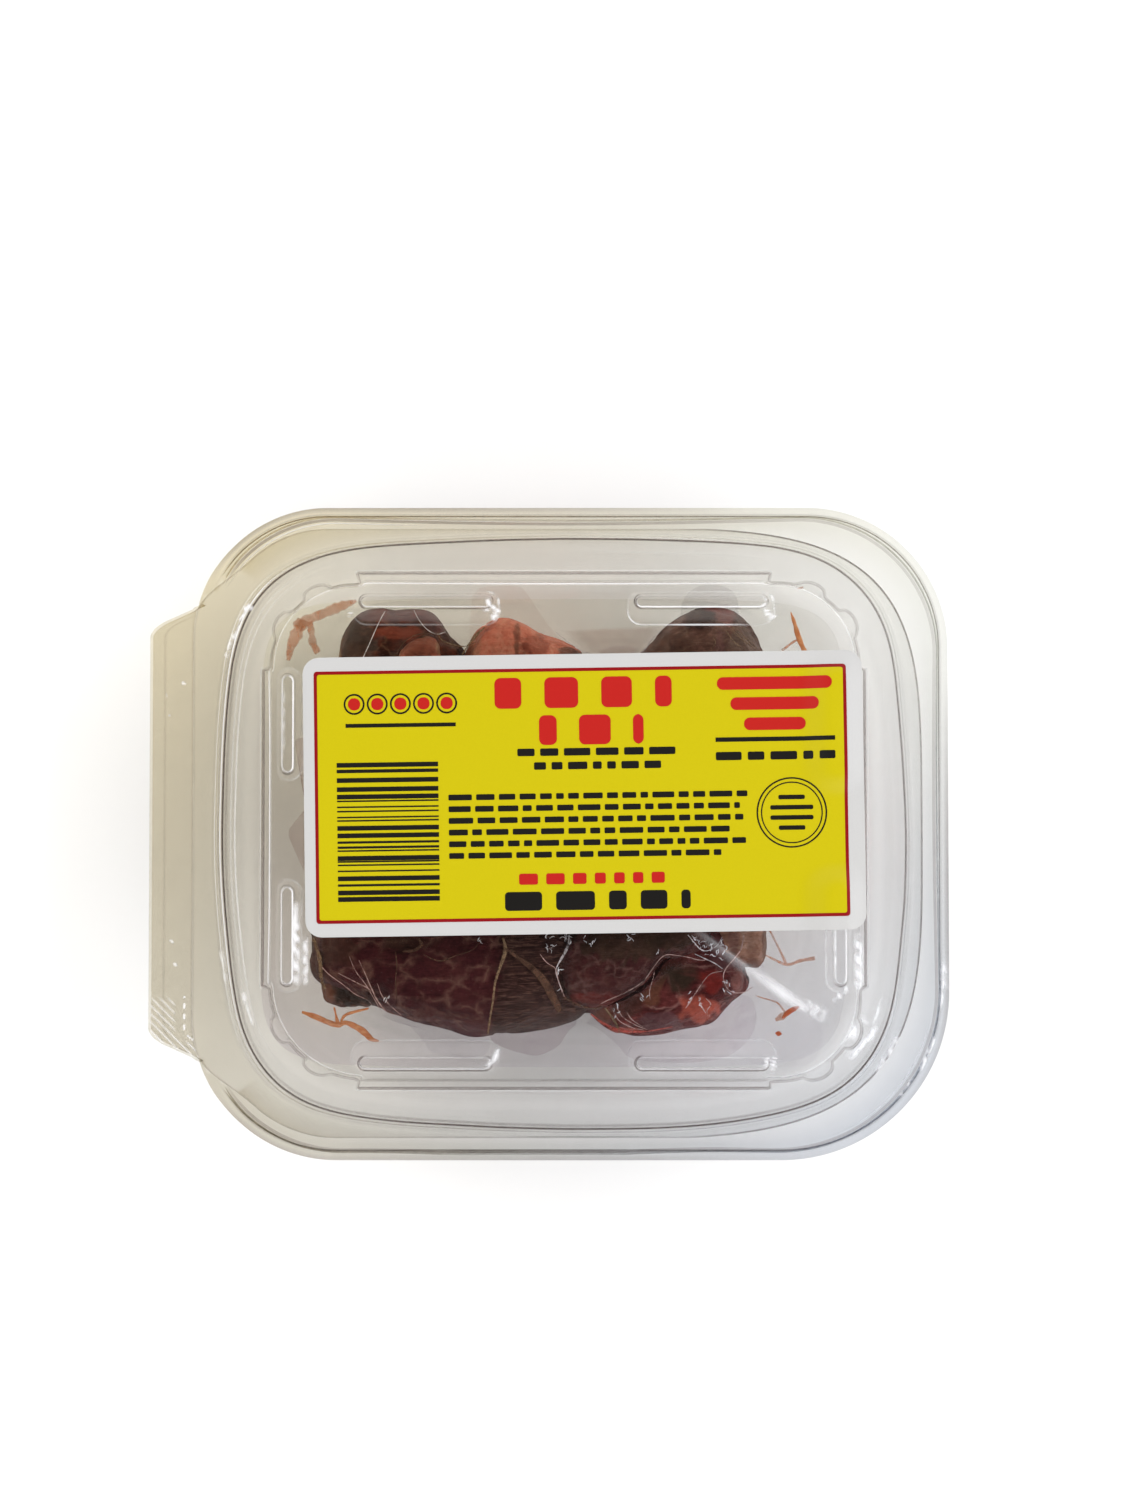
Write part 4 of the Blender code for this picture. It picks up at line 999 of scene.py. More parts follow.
class PackSizes(bpy.types.PropertyGroup):
    around: count_input("Points round", "Points round each section of the lid and tray", 480, 120, 900)
    film_step: FloatProperty(name="Film step", description="Distance between the film's points",
                             default=FILM_STEP, min=0.3 * MM, max=2.0 * MM, subtype="DISTANCE", unit="LENGTH")
    lump_around: count_input("Points round pork", "Points round each piece of pork", 160, 40, 300)
    lump_rows: count_input("Rows of pork", "Rows of points up each piece of pork", 72, 20, 160)


def color_input(name, description, color):
    """A colour that the panel shows."""
    return FloatVectorProperty(name=name, description=description, subtype="COLOR", default=color)


class PackLooks(bpy.types.PropertyGroup):
    # Painted light and shade in the tone seen through the pack: its colour at each side
    painted_tone_left: color_input("Tone, left", "Tone seen through the pack at its left", (0.6, 0.5, 0.3))
    painted_tone_right: color_input("Tone, right", "Tone seen through the pack at its right", (0.66, 0.675, 0.65))
    painted_tone_near: color_input("Tone, near side", "Change of tone towards the near side", (0.74, 0.79, 0.95))
    painted_tone_far: color_input("Tone, far side", "Change of tone towards the far side", (1.07, 1.045, 0.95))
    # Colour of the painted shade in dark fold lines, and colour of the painted highlights, also used for the
    # plastic's haze
    fold_shade_color: color_input("Fold line", "What passes through a dark fold line", (0.2, 0.15, 0.14))
    plastic_haze_and_highlight: color_input("Plastic sheen", "Colour of bright fold lines and haze", (0.9, 0.9, 0.93))
    film_milk: color_input("Film haze", "Colour of the film's milky cast", (0.8, 0.765, 0.765))
    label_stock: color_input("Label stock", "Bare paper at the label's border", (0.51, 0.505, 0.5))
    label_field: color_input("Label field", "Printed ground of the label", (0.5, 0.42, 0.003))
    label_red: color_input("Label red", "Red ink", (0.43, 0.014, 0.011))
    label_rule: color_input("Label rule", "Dark red ink of the rule", (0.235, 0.004, 0.007))
    label_black: color_input("Label black", "Black ink", (0.01, 0.009, 0.008))
    juice: color_input("Juice", "Set juice where it lies thin", (0.88, 0.42, 0.19))
    juice_deep: color_input("Juice, thick", "Set juice where it lies thick", (0.66, 0.22, 0.08))


def bound_to(angles, *fields):
    """Each of these fields, bound to these angles round the pack."""
    return [partial(field, angles) for field in fields]


def tray_rings(angles):
    """The tray from its lip inward: guard ridge, rim, mouth, drafted wall, rounded foot and raised base."""
    arc, patchy, mouth, rim = bound_to(angles, lit_arc, flicker, mouth_reach, rim_reach)
    raised = 1.0 - hinge_share(angles)
    wall_in = 3.1 * MM
    broken = patchy(5, 50.0)
    # Painted highlights: glints at chosen angles round the rim, and a broken bright line inside the ridge
    outer_glint = 0.8 * arc(129.0, 16.0) + 0.7 * arc(-38.0, 12.0)
    inner_glint = 0.25 * raised * broken + 0.6 * arc(88.0, 40.0) * broken
    inner = (3.05 + 0.35 * np.sin(angles) - 0.7 * arc(-94.0, 32.0)) * MM
    line = raised * (0.75 - 0.25 * arc(0.0, 60.0))
    ridge_end = rim(0.0) - inner
    # Each station ends with its painted fold shade and its painted highlight
    stations = [
        (rim(SHEET / 2), RIM - LIP_DROP * raised, 0.0, 0.3 * broken * raised, 0.0),
        (rim(1.3 * MM), RIM, 0.2, 0.0, 0.0),
        (rim(1.7 * MM), RIM + RIDGE_RISE * raised, 0.13, line, 0.0),
        (ridge_end + 0.35 * MM, RIM + RIDGE_RISE * raised, 0.12, 0.0, np.minimum(inner_glint, 0.9)),
        (ridge_end, RIM, 0.13, line * (0.5 + 0.4 * broken), 0.0),
        (ridge_end - 0.5 * MM, RIM, 0.2, 0.0, np.minimum(outer_glint * broken, 0.9)),
        (mouth(-0.1 * MM), RIM, 0.9, 0.0, 0.0),
        (mouth(0.6 * MM), RIM - 6.0 * MM, 0.0, 0.0, 0.0),
        (mouth(wall_in), 0.5 * MM, 8.0, 0.0, 0.0),
        (mouth(16.1 * MM), 0.5 * MM, 1.0, 0.0, 0.0),
        (mouth(17.6 * MM), 1.5 * MM, 1.0, 0.0, 0.0),
        (mouth(30.0 * MM), 1.5 * MM, 0.0, 0.0, 0.0),
    ]
    return eased(stations, 7)


def lid_rings(angles):
    """The lid from its edge inward: flat edge, bead over the mouth, shoulder, raised panel and its lugs."""
    arc, patchy, mouth, panel = bound_to(angles, lit_arc, flicker, mouth_reach, panel_plain)
    plain = panel(0.0)
    foot = panel_reach(angles, 0.0) + panel_foot(angles)
    turned = np.degrees(angles)[:, None] + np.linspace(-3.0, 3.0, 7)
    bow = np.interp(turned % 360.0, *np.transpose(BEAD_BOW)).mean(axis=1)
    shift = (0.35 * np.cos(angles) - 0.6 * np.sin(angles) + bow) * MM
    bead_in = mouth(0.95 * MM) + shift
    between = np.maximum(mouth(3.3 * MM) + shift, foot + 0.8 * MM)
    before = np.maximum(mouth(2.5 * MM) + shift, between + 0.3 * MM)
    # Painted highlights and painted fold shade by side: brightest on the left, in broken runs
    left = arc(176.0, 50.0)
    upper_left = arc(146.0, 9.0)
    far = arc(84.0, 42.0)
    near_right = arc(-33.0, 13.0)
    near = arc(-90.0, 75.0)
    broken = patchy(8, 30.0)
    free = 0.12 + 0.38 * smooth(np.cos(angles), 0.3, 0.6)
    corner = panel_corner(angles)
    straight = 1.0 - corner
    far_side = straight * smooth(np.sin(angles), 0.70, 0.78)
    near_side = straight * smooth(-np.sin(angles), 0.70, 0.78)
    left_side = straight * arc(180.0, 44.0)
    lip = plain + (0.05 - corner * np.where(np.cos(angles) < 0, 0.7, 0.35) - 0.45 * left_side) * MM
    outer = shift + 0.35 * left * MM
    # Each station ends with its painted fold shade and its painted highlight
    stations = [
        (lid_edge_reach(angles) - SHEET / 2, LID_RIM, 0.0, free * (0.6 + 0.4 * broken), 0.0),
        (lid_edge_reach(angles) - 0.4 * MM, LID_RIM, 0.0, 0.0, 0.0),
        (mouth(-0.6 * MM) + outer, LID_RIM, 0.3, 0.1 * left, 0.0),
        (mouth(-0.2 * MM) + outer, LID_RIM + 0.5 * (BEAD_TOP - LID_RIM), 0.25, 0.0,
         0.9 * left + 0.15 * far + 0.55 * upper_left),
        (mouth(0.1 * MM) + shift, BEAD_TOP, 0.2, 0.3 * left, 0.0),
        (mouth(0.55 * MM) + shift, BEAD_TOP, 0.15, 0.0,
         0.6 * left + (0.2 * far + 0.5 * near_right) * broken + 0.4 * upper_left),
        (bead_in, BEAD_TOP + 0.1 * MM, 0.28, 0.85 - 0.25 * arc(10.0, 60.0), 0.0),
        (mouth(1.55 * MM) + shift, BEAD_TOP + 0.14 * MM, 0.45, 0.22 * near + 0.2 * left, 0.0),
        (before, BEAD_TOP + 0.2 * MM, 0.14, 0.0, 0.6 * left * patchy(12, 60.0)),
        (between, BEAD_TOP + 0.5 * (SHOULDER_TOP - BEAD_TOP), 0.18, 0.0,
         0.5 * left * patchy(13, 50.0) + 0.2 * far * patchy(13, 30.0)),
        (foot + 0.33 * MM, SHOULDER_TOP, 0.1, 0.0, 0.35 * straight),
        (foot, SHOULDER_TOP, 0.14, 0.8 - 0.35 * corner, 0.0),
        (foot - 0.35 * MM, SHOULDER_TOP + 0.9 * MM, 0.1, 0.0, 0.3 * far_side),
        (lip, PANEL_TOP, 0.3,
         0.12 * corner + 0.25 * far_side * patchy(14, 30.0) + 0.5 * near_side,
         0.6 * left_side + 0.1 * broken * straight * (1.0 - far_side - near_side)),
        (lip - 0.6 * MM, PANEL_TOP, 0.2, 0.0, 0.45 * far_side + 0.2 * corner),
        (panel(1.45 * MM), PANEL_TOP, 0.0, 0.0, 0.0),
    ]
    rings, dark, bright = eased(stations, 5)
    insets = np.concatenate((np.arange(1.7, 9.0, 0.3), (10.0, 14.0, 20.0, 30.0))) * MM
    flat = [np.stack((panel(inset), np.full_like(angles, PANEL_TOP))) for inset in insets]
    none = np.zeros((len(flat), len(angles)))
    return tuple(np.concatenate(pair) for pair in ((rings, np.array(flat)), (dark, none), (bright, none)))


def lug_fields(x, y):
    """Fields that paint the lugs' fold lines: mm past the flat top and past the foot, how strong the painted
    highlight and the painted shade at the top's edge are, and how strong the painted highlight at the foot."""
    spots = np.stack((x, y), axis=-1)
    patchy = held(0.5 + 0.9 * waves(spots, 1.6 * MM, 33))
    streaky = held(0.6 + 0.6 * waves(spots * (0.15, 1.0), 3.0 * MM, 35))
    far, right_half = y > 0, x > BODY_X
    fields = None
    for kind, past, run, inward, endward in lug_places(x, y, LUG_SLOPES):
        inner, outer = held(inward), held(-inward)
        right, left = held(endward), held(-endward)
        if kind == 0:
            far_light = np.where(right_half, 0.7, 0.35) * inner + 0.1 * outer
            light = np.where(far, far_light, 0.12 * inner + 0.45 * outer)
            light = np.maximum(light, right * patchy + 0.1 * left)
            dark = np.where(far, 0.45 * inner * streaky + 0.15 * outer, 0.95 * outer)
            dark = np.maximum(dark, 0.95 * left ** 0.5 + 0.7 * right * (1.0 - patchy))
            foot = np.where(far & right_half, (0.5 * inner + 0.2 * outer) * streaky, 0.05 * inner + 0.03)
            foot = np.maximum(foot, np.where(far, 0.6, 0.2) * right * patchy + 0.06 * left)
        else:
            light = np.where(right_half, 0.35 * inner + 0.7 * outer, 0.85 * inner + 0.5 * outer)
            light = np.maximum(light, 0.5 * right * patchy + 0.3 * left)
            dark = np.maximum(0.25 * inner + 0.1 * outer, 0.8 * left + 0.4 * right)
            foot = 0.16 * streaky * inner + 0.06
        own = np.stack((past / MM, (past - run) / MM, light, dark, foot))
        fields = own if fields is None else np.where(fields[0] < own[0], fields, own)
    return dict(zip(("lug_edge", "lug_foot", "edge_light", "edge_dark", "foot_light"), fields))


def tone_power(reach, angles):
    """Power of the tone for one face of the tray: most on the near lip, with painted shade added there,
    less under the lid, least inside.
    """
    edge = lid_edge_reach(angles)
    mouth = mouth_reach(angles, 0.0)
    covered = fall(reach, edge - 0.1 * MM, edge + 0.1 * MM)
    inside = fall(reach, mouth - 1.0 * MM, mouth + 0.2 * MM)
    alone = TONE_ALONE + NEAR_SHADE_POWER * lit_arc(angles, -80.0, 80.0)
    return alone + (TONE_COVERED - alone) * covered + (TONE_INSIDE - TONE_COVERED) * inside


def glints(x, y, table):
    """Painted highlights on the plastic: a soft lens round each place of the table, streaky across its
    length.
    """
    total = np.zeros_like(x)
    grain = held(0.7 + 0.5 * waves(np.stack((x, y), axis=-1), 1.3 * MM, 41))
    for spot_x, spot_y, half_long, half_wide, degrees, share in table:
        turn = math.radians(degrees)
        along = ((x / MM - spot_x) * math.cos(turn) + (y / MM - spot_y) * math.sin(turn)) / half_long
        across = ((y / MM - spot_y) * math.cos(turn) - (x / MM - spot_x) * math.sin(turn)) / half_wide
        lens = held(1.0 - np.abs(along) ** 4) * held(1.4 - across ** 2 * 1.4)
        total = np.maximum(total, share * lens * grain)
    return total


class PORKPACK_OT_tray(bpy.types.Operator):
    """Tray of clear plastic: a profile of rings swept round the bowed mouth, with an even wall."""
    bl_idname = "porkpack.tray"
    bl_label = "Tray"

    def execute(self, context):
        angles = ray_angles(context.scene.pack_sizes.around)
        rings, dark, bright = tray_rings(angles)
        top = ring_points(angles, rings)
        tint = tone_power(rings[:, 0], angles)
        piece = Piece()
        # Painted glints from the table join the rings' painted highlights
        lit = np.maximum(bright, glints(top[..., 0], top[..., 1], RIM_GLINTS))
        values = add_shell(piece, top, {"crease": dark, "sheen": lit, "tint": tint})
        plastic = clear_plastic("tray_plastic", context.scene.pack_looks, 0.0, 0.12)
        place(piece.make("tray_shell", plastic, values=values), "tray", "clear_plastic")
        return {"FINISHED"}


class PORKPACK_OT_lid(bpy.types.Operator):
    """Lid of clear plastic: rings swept from its edge over the bead to the raised panel with its lugs."""
    bl_idname = "porkpack.lid"
    bl_label = "Lid"

    def execute(self, context):
        angles = ray_angles(context.scene.pack_sizes.around)
        rings, dark, bright = lid_rings(angles)
        top = ring_points(angles, rings)
        x, y = top[..., 0], top[..., 1]
        on_panel = top[..., 2] > PANEL_TOP - 0.1 * MM
        lugs = {key: field * on_panel for key, field in lug_fields(x, y).items()}
        top[..., 2] += np.where(on_panel, lug_height(x, y), 0.0)
        # Painted glints, kept off the flat lid past the hinge
        past_hinge = (rings[:, 0] > mouth_reach(angles, -0.6 * MM)) & (np.cos(angles) < 0)
        lit = np.maximum(bright, np.where(past_hinge, 0.0, glints(x, y, GLINTS)))
        piece = Piece()
        tint = np.full_like(dark, TONE_COVERED)
        values = add_shell(piece, top, {"crease": dark, "sheen": lit, "tint": tint, **lugs})
        plastic = clear_plastic("lid_plastic", context.scene.pack_looks, 0.0, 0.10)
        place(piece.make("lid_shell", plastic, values=values), "lid", "clear_plastic")
        return {"FINISHED"}


def strip_lines(y):
    """Outer fold and inner edge of the tear strip at each Y: the inner edge follows the tray's rim."""
    outer = STRIP_LOW.x + np.interp(np.abs(y), (0.0362, 0.0374, 0.0384, 0.0410, 0.0419),
                                    (0.0, 0.0008, 0.0022, 0.0080, 0.0100))
    radius = np.where(y > 0, FAR_RADII[0], NEAR_RADII[0])
    over = np.maximum(np.abs(y) - (REACH_SIDE - radius), 0.0)
    rim = HINGE_X + radius - np.sqrt(radius ** 2 - over ** 2) - 0.04 * MM
    return outer, np.maximum(rim, outer + 0.4 * MM)


class PORKPACK_OT_tear_strip(bpy.types.Operator):
    """Folded tear strip: a U-shaped section carried along the hinge, with slanted ends and a hatched grip."""
    bl_idname = "porkpack.tear_strip"
    bl_label = "Tear strip"

    def execute(self, context):
        y = np.linspace(-STRIP_HALF, STRIP_HALF, 260)
        outer, inner = strip_lines(y)
        middle = (STRIP_LOW.z + STRIP_HIGH.z) / 2
        spread = (STRIP_HIGH.z - STRIP_LOW.z - SHEET) / 2
        count = 44
        part = np.linspace(0.0, 1.0, count)
        bend = np.linspace(0.5, -0.5, 9)[1:-1] * np.pi
        fold = np.minimum(outer + spread + SHEET / 2, inner - 0.2 * MM)
        upper_x = inner[:, None] + (fold - inner)[:, None] * part
        round_x = fold[:, None] - spread * np.cos(bend)
        x = np.hstack((upper_x, round_x, upper_x[:, ::-1]))
        height = np.concatenate((np.full(count, spread), spread * np.sin(bend), np.full(count, -spread)))
        x = np.maximum(x, STRIP_LOW.x + SHEET / 2)
        z = middle + np.broadcast_to(height, x.shape)
        line = np.stack((x, np.broadcast_to(y[:, None], x.shape), z), axis=-1)
        upper = np.broadcast_to(height, x.shape) > spread * 0.9
        along = line[..., 1]
        grip = fall(along, -31.0 * MM, -29.0 * MM) * upper
        slant = (x + along) * 2.0 * np.pi / (1.5 * MM)
        ribs = np.sin(slant) * grip
        dimple = waves(line[..., :2], 6.0 * MM, 4) * 0.05 * MM
        normal = grid_normals(line, False)
        lift = (ribs * 0.06 - 0.1) * MM + np.minimum(dimple, 0.05 * MM)
        lift = lift[..., None] * np.array((0.0, 0.0, 1.0))
        piece = Piece()
        piece.add_plate(line + normal * (SHEET / 2) + lift, line - normal * (SHEET / 2) + lift)
        # Painted shade along the fold and the inner edge; painted highlights on the ribs, a row of dashes and
        # scattered spots
        far_edge = (x - outer[:, None]) / MM
        dark = 0.1 * thin_line(far_edge, 2.8, 0.35) * upper
        dark = np.maximum(dark, 0.1 * thin_line(x, inner[:, None], 0.4 * MM) * upper)
        dashes = (np.sin(along * 2.0 * np.pi / (1.9 * MM)) > 0.2) * (along < -30.0 * MM)
        bright = 0.35 * held(ribs) ** 2 * smooth(-far_edge, -5.2, -4.6)
        bright = np.maximum(bright, 0.7 * dashes * upper * thin_line(far_edge, 6.6, 0.3))
        spots = waves(line[..., :2], 2.2 * MM, 91) > 1.9
        bright = np.maximum(bright, 0.35 * spots * upper)
        both = {"crease": dark, "sheen": bright, "tint": np.full(x.shape, TONE_STRIP)}
        values = {key: np.tile(value.ravel(), 2) for key, value in both.items()}
        plastic = clear_plastic("strip_plastic", context.scene.pack_looks, 0.03, 0.2)
        place(piece.make("tear_strip_fold", plastic, sharp=60, values=values), "tear_strip", "clear_plastic")
        return {"FINISHED"}


def label_place(u, v, lift):
    """World points of label coordinates: turned, moved, and raised over the lugs under its right end."""
    x = LABEL_MIDDLE[0] + u * math.cos(LABEL_TURN) - v * math.sin(LABEL_TURN)
    y = LABEL_MIDDLE[1] + u * math.sin(LABEL_TURN) + v * math.cos(LABEL_TURN)
    rise = lug_height(x, y, LABEL_SLOPES, (1,)) * (x > BODY_X)
    return np.stack((x, y, LABEL_BASE + rise + lift), axis=-1)


def label_lattice(low, high, fine_from, fine, coarse):
    """Places from low to high on one lattice that all the label's layers share, finer past fine_from."""
    end = 60.0 * MM
    lattice = np.concatenate((np.arange(-end, fine_from, coarse), np.arange(fine_from, end, fine)))
    inner = lattice[(lattice > low + 0.01 * MM) & (lattice < high - 0.01 * MM)]
    return np.concatenate(((low,), inner, (high,)))


def rounded_sheet(half_u, half_v, radius, centre=(0.0, 0.0)):
    """Grid of a rounded rectangle: each row is as long as the outline is at its place."""
    u = label_lattice(centre[0] - half_u, centre[0] + half_u, 36.0 * MM, 0.3 * MM, 1.0 * MM)
    v = label_lattice(centre[1] - half_v, centre[1] + half_v, -60.0 * MM, 0.5 * MM, 1.0 * MM)
    bend = radius * (1.0 - np.cos(np.linspace(0.0, 1.0, 7)[1:] * np.pi / 2))
    low, high = centre[1] - half_v, centre[1] + half_v
    middle = v[(v > low + radius) & (v < high - radius)]
    v = np.concatenate(((low,), low + bend, middle, (high - bend)[::-1], (high,)))
    v = np.unique(np.round(v, 9))
    over = np.maximum(np.abs(v - centre[1]) - (half_v - radius), 0.0)
    length = half_u - radius + np.sqrt(np.maximum(radius ** 2 - over ** 2, 0.0))
    away = u[None, :] - centre[0]
    straight = half_u - radius
    past = held((np.abs(away) - straight) / radius)
    reach = np.minimum(np.abs(away), straight) + past * (length[:, None] - straight)
    return centre[0] + np.sign(away) * reach, np.broadcast_to(v[:, None], reach.shape)


class PORKPACK_OT_label(bpy.types.Operator):
    """Label: a thin rounded sheet laid on the panel, lifted over the two lugs under its right end."""
    bl_idname = "porkpack.label"
    bl_label = "Label"

    def execute(self, context):
        looks = context.scene.pack_looks
        u, v = rounded_sheet(LABEL_SIZE[0] / 2, LABEL_SIZE[1] / 2, LABEL_RADIUS)
        piece = Piece()
        piece.add_plate(label_place(u, v, LABEL_THICK), label_place(u, v, 0.0))
        stock = label_finish("label_stock", looks.label_stock, 0.42)
        place(piece.make("label_sheet", stock, sharp=50), "label", "label_paper")
        return {"FINISHED"}


# The print: step from one layer of ink to the next, then the rule's half sizes and middle in mm on the label
INK = 0.03 * MM
RULE_HALF = (48.3, 22.9)
RULE_MIDDLE = (-0.5, -0.05)


def ink_patch(piece, half_u, half_v, u, v, level=2, radius=0.02):
    """A patch of ink: a rectangle with rounded corners draped on the label, in mm."""
    ink_plate(piece, *rounded_sheet(half_u * MM, half_v * MM, radius * MM, (u * MM, v * MM)), level)


def ink_ring(piece, middle_u, middle_v, radius, width):
    """A ring of ink: an annulus of two circles draped on the label, in mm."""
    turn = np.linspace(0.0, 2.0 * np.pi, 97)
    reach = np.array((radius - width, radius)) * MM
    u = middle_u * MM + np.cos(turn)[:, None] * reach
    v = middle_v * MM + np.sin(turn)[:, None] * reach
    ink_plate(piece, u, v, 2)


def ink_plate(piece, u, v, level):
    """A thin layer of ink over label coordinates, at its level on the paper."""
    base = LABEL_THICK + level * INK
    piece.add_plate(label_place(u, v, base + INK * 0.8), label_place(u, v, base))


def ink_words(piece, draw, left, right, v, height, word):
    """A line of plain blocks with gaps, as wide as words of the given mean length, in mm."""
    u = left
    while u < right - word * 0.3:
        length = min(word * draw.uniform(0.45, 1.5), right - u)
        ink_patch(piece, length / 2, height / 2, u + length / 2, v, radius=height * 0.2)
        u += length + height * 0.75


def ink_lines(red, black):
    """The lines of blocks: ink, left, right, middle and height of each, and mean length of a block, in mm."""
    small = [(black, -24.6, right, -0.4 - 2.12 * k, 1.05, 3.0)
             for k, right in enumerate((29.6, 28.2, 28.8, 27.6, 29.2, 25.0))]
    return ((red, -16.0, 20.5, 18.4, 5.6, 4.4), (red, -8.0, 12.5, 11.6, 5.4, 4.2),
            (red, -12.0, 16.0, -15.4, 2.0, 2.6), (black, -12.0, 17.5, 7.6, 1.35, 3.2),
            (black, -9.0, 14.5, 5.1, 1.35, 3.2), *small, (black, -14.6, 19.0, -19.4, 3.4, 5.4))


class PORKPACK_OT_print(bpy.types.Operator):
    """Print on the label: a ground, a rule and plain generic blocks, bars and rings, draped on the sheet."""
    bl_idname = "porkpack.print"
    bl_label = "Label print"

    def execute(self, context):
        looks = context.scene.pack_looks
        draw = np.random.default_rng(7)
        rule, ground, red, black = Piece(), Piece(), Piece(), Piece()
        ink_patch(rule, *RULE_HALF, *RULE_MIDDLE, level=0, radius=0.6)
        ink_patch(ground, RULE_HALF[0] - 0.6, RULE_HALF[1] - 0.6, *RULE_MIDDLE, level=1, radius=0.4)
        for ink, *line in ink_lines(red, black):
            ink_words(ink, draw, *line)
        v = -18.6
        while v < 6.6:
            thick = draw.choice((0.28, 0.42, 0.62, 0.85))
            ink_patch(black, 9.2, thick / 2, -35.6, v)
            v += thick + draw.choice((0.34, 0.5, 0.8))
        for k in range(5):
            ink_patch(red, 1.1, 1.1, -41.5 + 4.2 * k, 16.8, radius=1.0)
            ink_ring(black, -41.5 + 4.2 * k, 16.8, 1.9, 0.32)
        ink_patch(black, 10.0, 0.35, -33.1, 12.9)
        for k, half in enumerate((10.4, 8.0, 5.6)):
            ink_patch(red, half, 1.15, 34.8, 19.6 - 3.7 * k, radius=1.1)
        ink_patch(black, 10.8, 0.4, 34.8, 9.4)
        ink_words(black, draw, 24.0, 45.6, 6.4, 1.5, 3.4)
        ink_ring(black, 37.6, -4.0, 6.4, 0.28)
        ink_ring(black, 37.6, -4.0, 5.6, 0.22)
        for k, half in enumerate((2.4, 3.9, 3.9, 2.4)):
            ink_patch(black, half, 0.4, 37.6, -1.2 - 1.85 * k, radius=0.3)
        for name, piece, color in (
                ("label_rule", rule, looks.label_rule), ("label_ground", ground, looks.label_field),
                ("label_red_ink", red, looks.label_red), ("label_black_ink", black, looks.label_black)):
            item = piece.make(name, label_finish(name + "_print", color, 0.38), sharp=40)
            place(item, "label", "label_paper")
        return {"FINISHED"}


class Lump:
    """A rounded block: reach from its middle follows its outline, and its sides a squared circle."""

    SIDE = 0.36                    # 1 gives round sides, less gives steeper ones
    CROWN = 0.62                   # 1 gives a round top, less gives a flatter one
    RELIEF = ((0.55, 11.0), (0.22, 4.0), (0.07, 1.4))        # depth and wave length in mm

    def __init__(self, outline, bottom, top, seed):
        points = np.array(outline) * MM
        self.centre = (points.min(axis=0) + points.max(axis=0)) / 2
        away = points - self.centre
        angle = np.arctan2(away[:, 1], away[:, 0])
        order = np.argsort(angle)
        self.angle = angle[order]
        self.reach = np.hypot(away[:, 0], away[:, 1])[order] - 0.1 * MM
        self.bottom = bottom * MM
        self.top = top * MM
        self.seed = seed

    def reach_at(self, angle):
        """The outline's reach, with its corners eased by a short running mean round the turn."""
        total = np.zeros_like(angle)
        offsets = np.linspace(-0.09, 0.09, 5)
        for offset in offsets:
            total += np.interp(angle + offset, self.angle, self.reach, period=2.0 * np.pi)
        return total / len(offsets)

    def surface(self, around, rows):
        """Rows of rings: reach by cos^SIDE, height by sin^CROWN, and uneven relief along the normals."""
        turn = np.arange(around) * 2.0 * np.pi / around
        lean = np.linspace(-0.5, 0.5, rows + 2)[1:-1] * np.pi
        out = np.abs(np.cos(lean)) ** self.SIDE
        up = np.sign(np.sin(lean)) * np.abs(np.sin(lean)) ** self.CROWN
        reach = self.reach_at(turn)[None, :] * out[:, None]
        middle = (self.top + self.bottom) / 2
        half = (self.top - self.bottom) / 2
        x = self.centre[0] + reach * np.cos(turn)
        y = self.centre[1] + reach * np.sin(turn)
        z = middle + half * np.broadcast_to(up[:, None], x.shape)
        points = np.stack((x, y, z), axis=-1)
        normal = grid_normals(points, True)
        relief = sum(depth * MM * waves(points, length * MM, self.seed + k)
                     for k, (depth, length) in enumerate(self.RELIEF))
        fade = held(np.cos(lean) / 0.25)[:, None]
        points -= normal * (np.clip(relief + 0.25 * MM, -0.1 * MM, 1.2 * MM) * fade)[..., None]
        return points

    def share_at(self, x, y):
        """Distance from the middle as a share of the outline's reach: less than 1 inside it."""
        away_x, away_y = x - self.centre[0], y - self.centre[1]
        return np.hypot(away_x, away_y) / self.reach_at(np.arctan2(away_y, away_x))

    def height(self, x, y):
        """Top of the block over each point, or below the skirt where the point is outside it."""
        share = self.share_at(x, y)
        cosine = held(share) ** (1.0 / self.SIDE)
        rise = np.sqrt(held(1.0 - cosine ** 2)) ** self.CROWN
        middle = (self.top + self.bottom) / 2
        return np.where(share < 1.0, middle + rise * (self.top - middle), 0.0)


def lumps():
    return {name: (Lump(outline, bottom, top, 20 + 3 * k), kind)
            for k, (name, (bottom, top, kind, outline)) in enumerate(PORK.items())}


def soft_spot(points, x, y, half_x, half_y, seed=0):
    """1 at a place in mm seen from above, falling to 0 round an uneven ellipse of these half sizes."""
    away = np.hypot((points[..., 0] / MM - x) / half_x, (points[..., 1] / MM - y) / half_y)
    ragged = away + 0.16 * waves(points[..., :2], 2.4 * MM, 90 + seed)
    return fall(ragged, 0.75, 1.1)


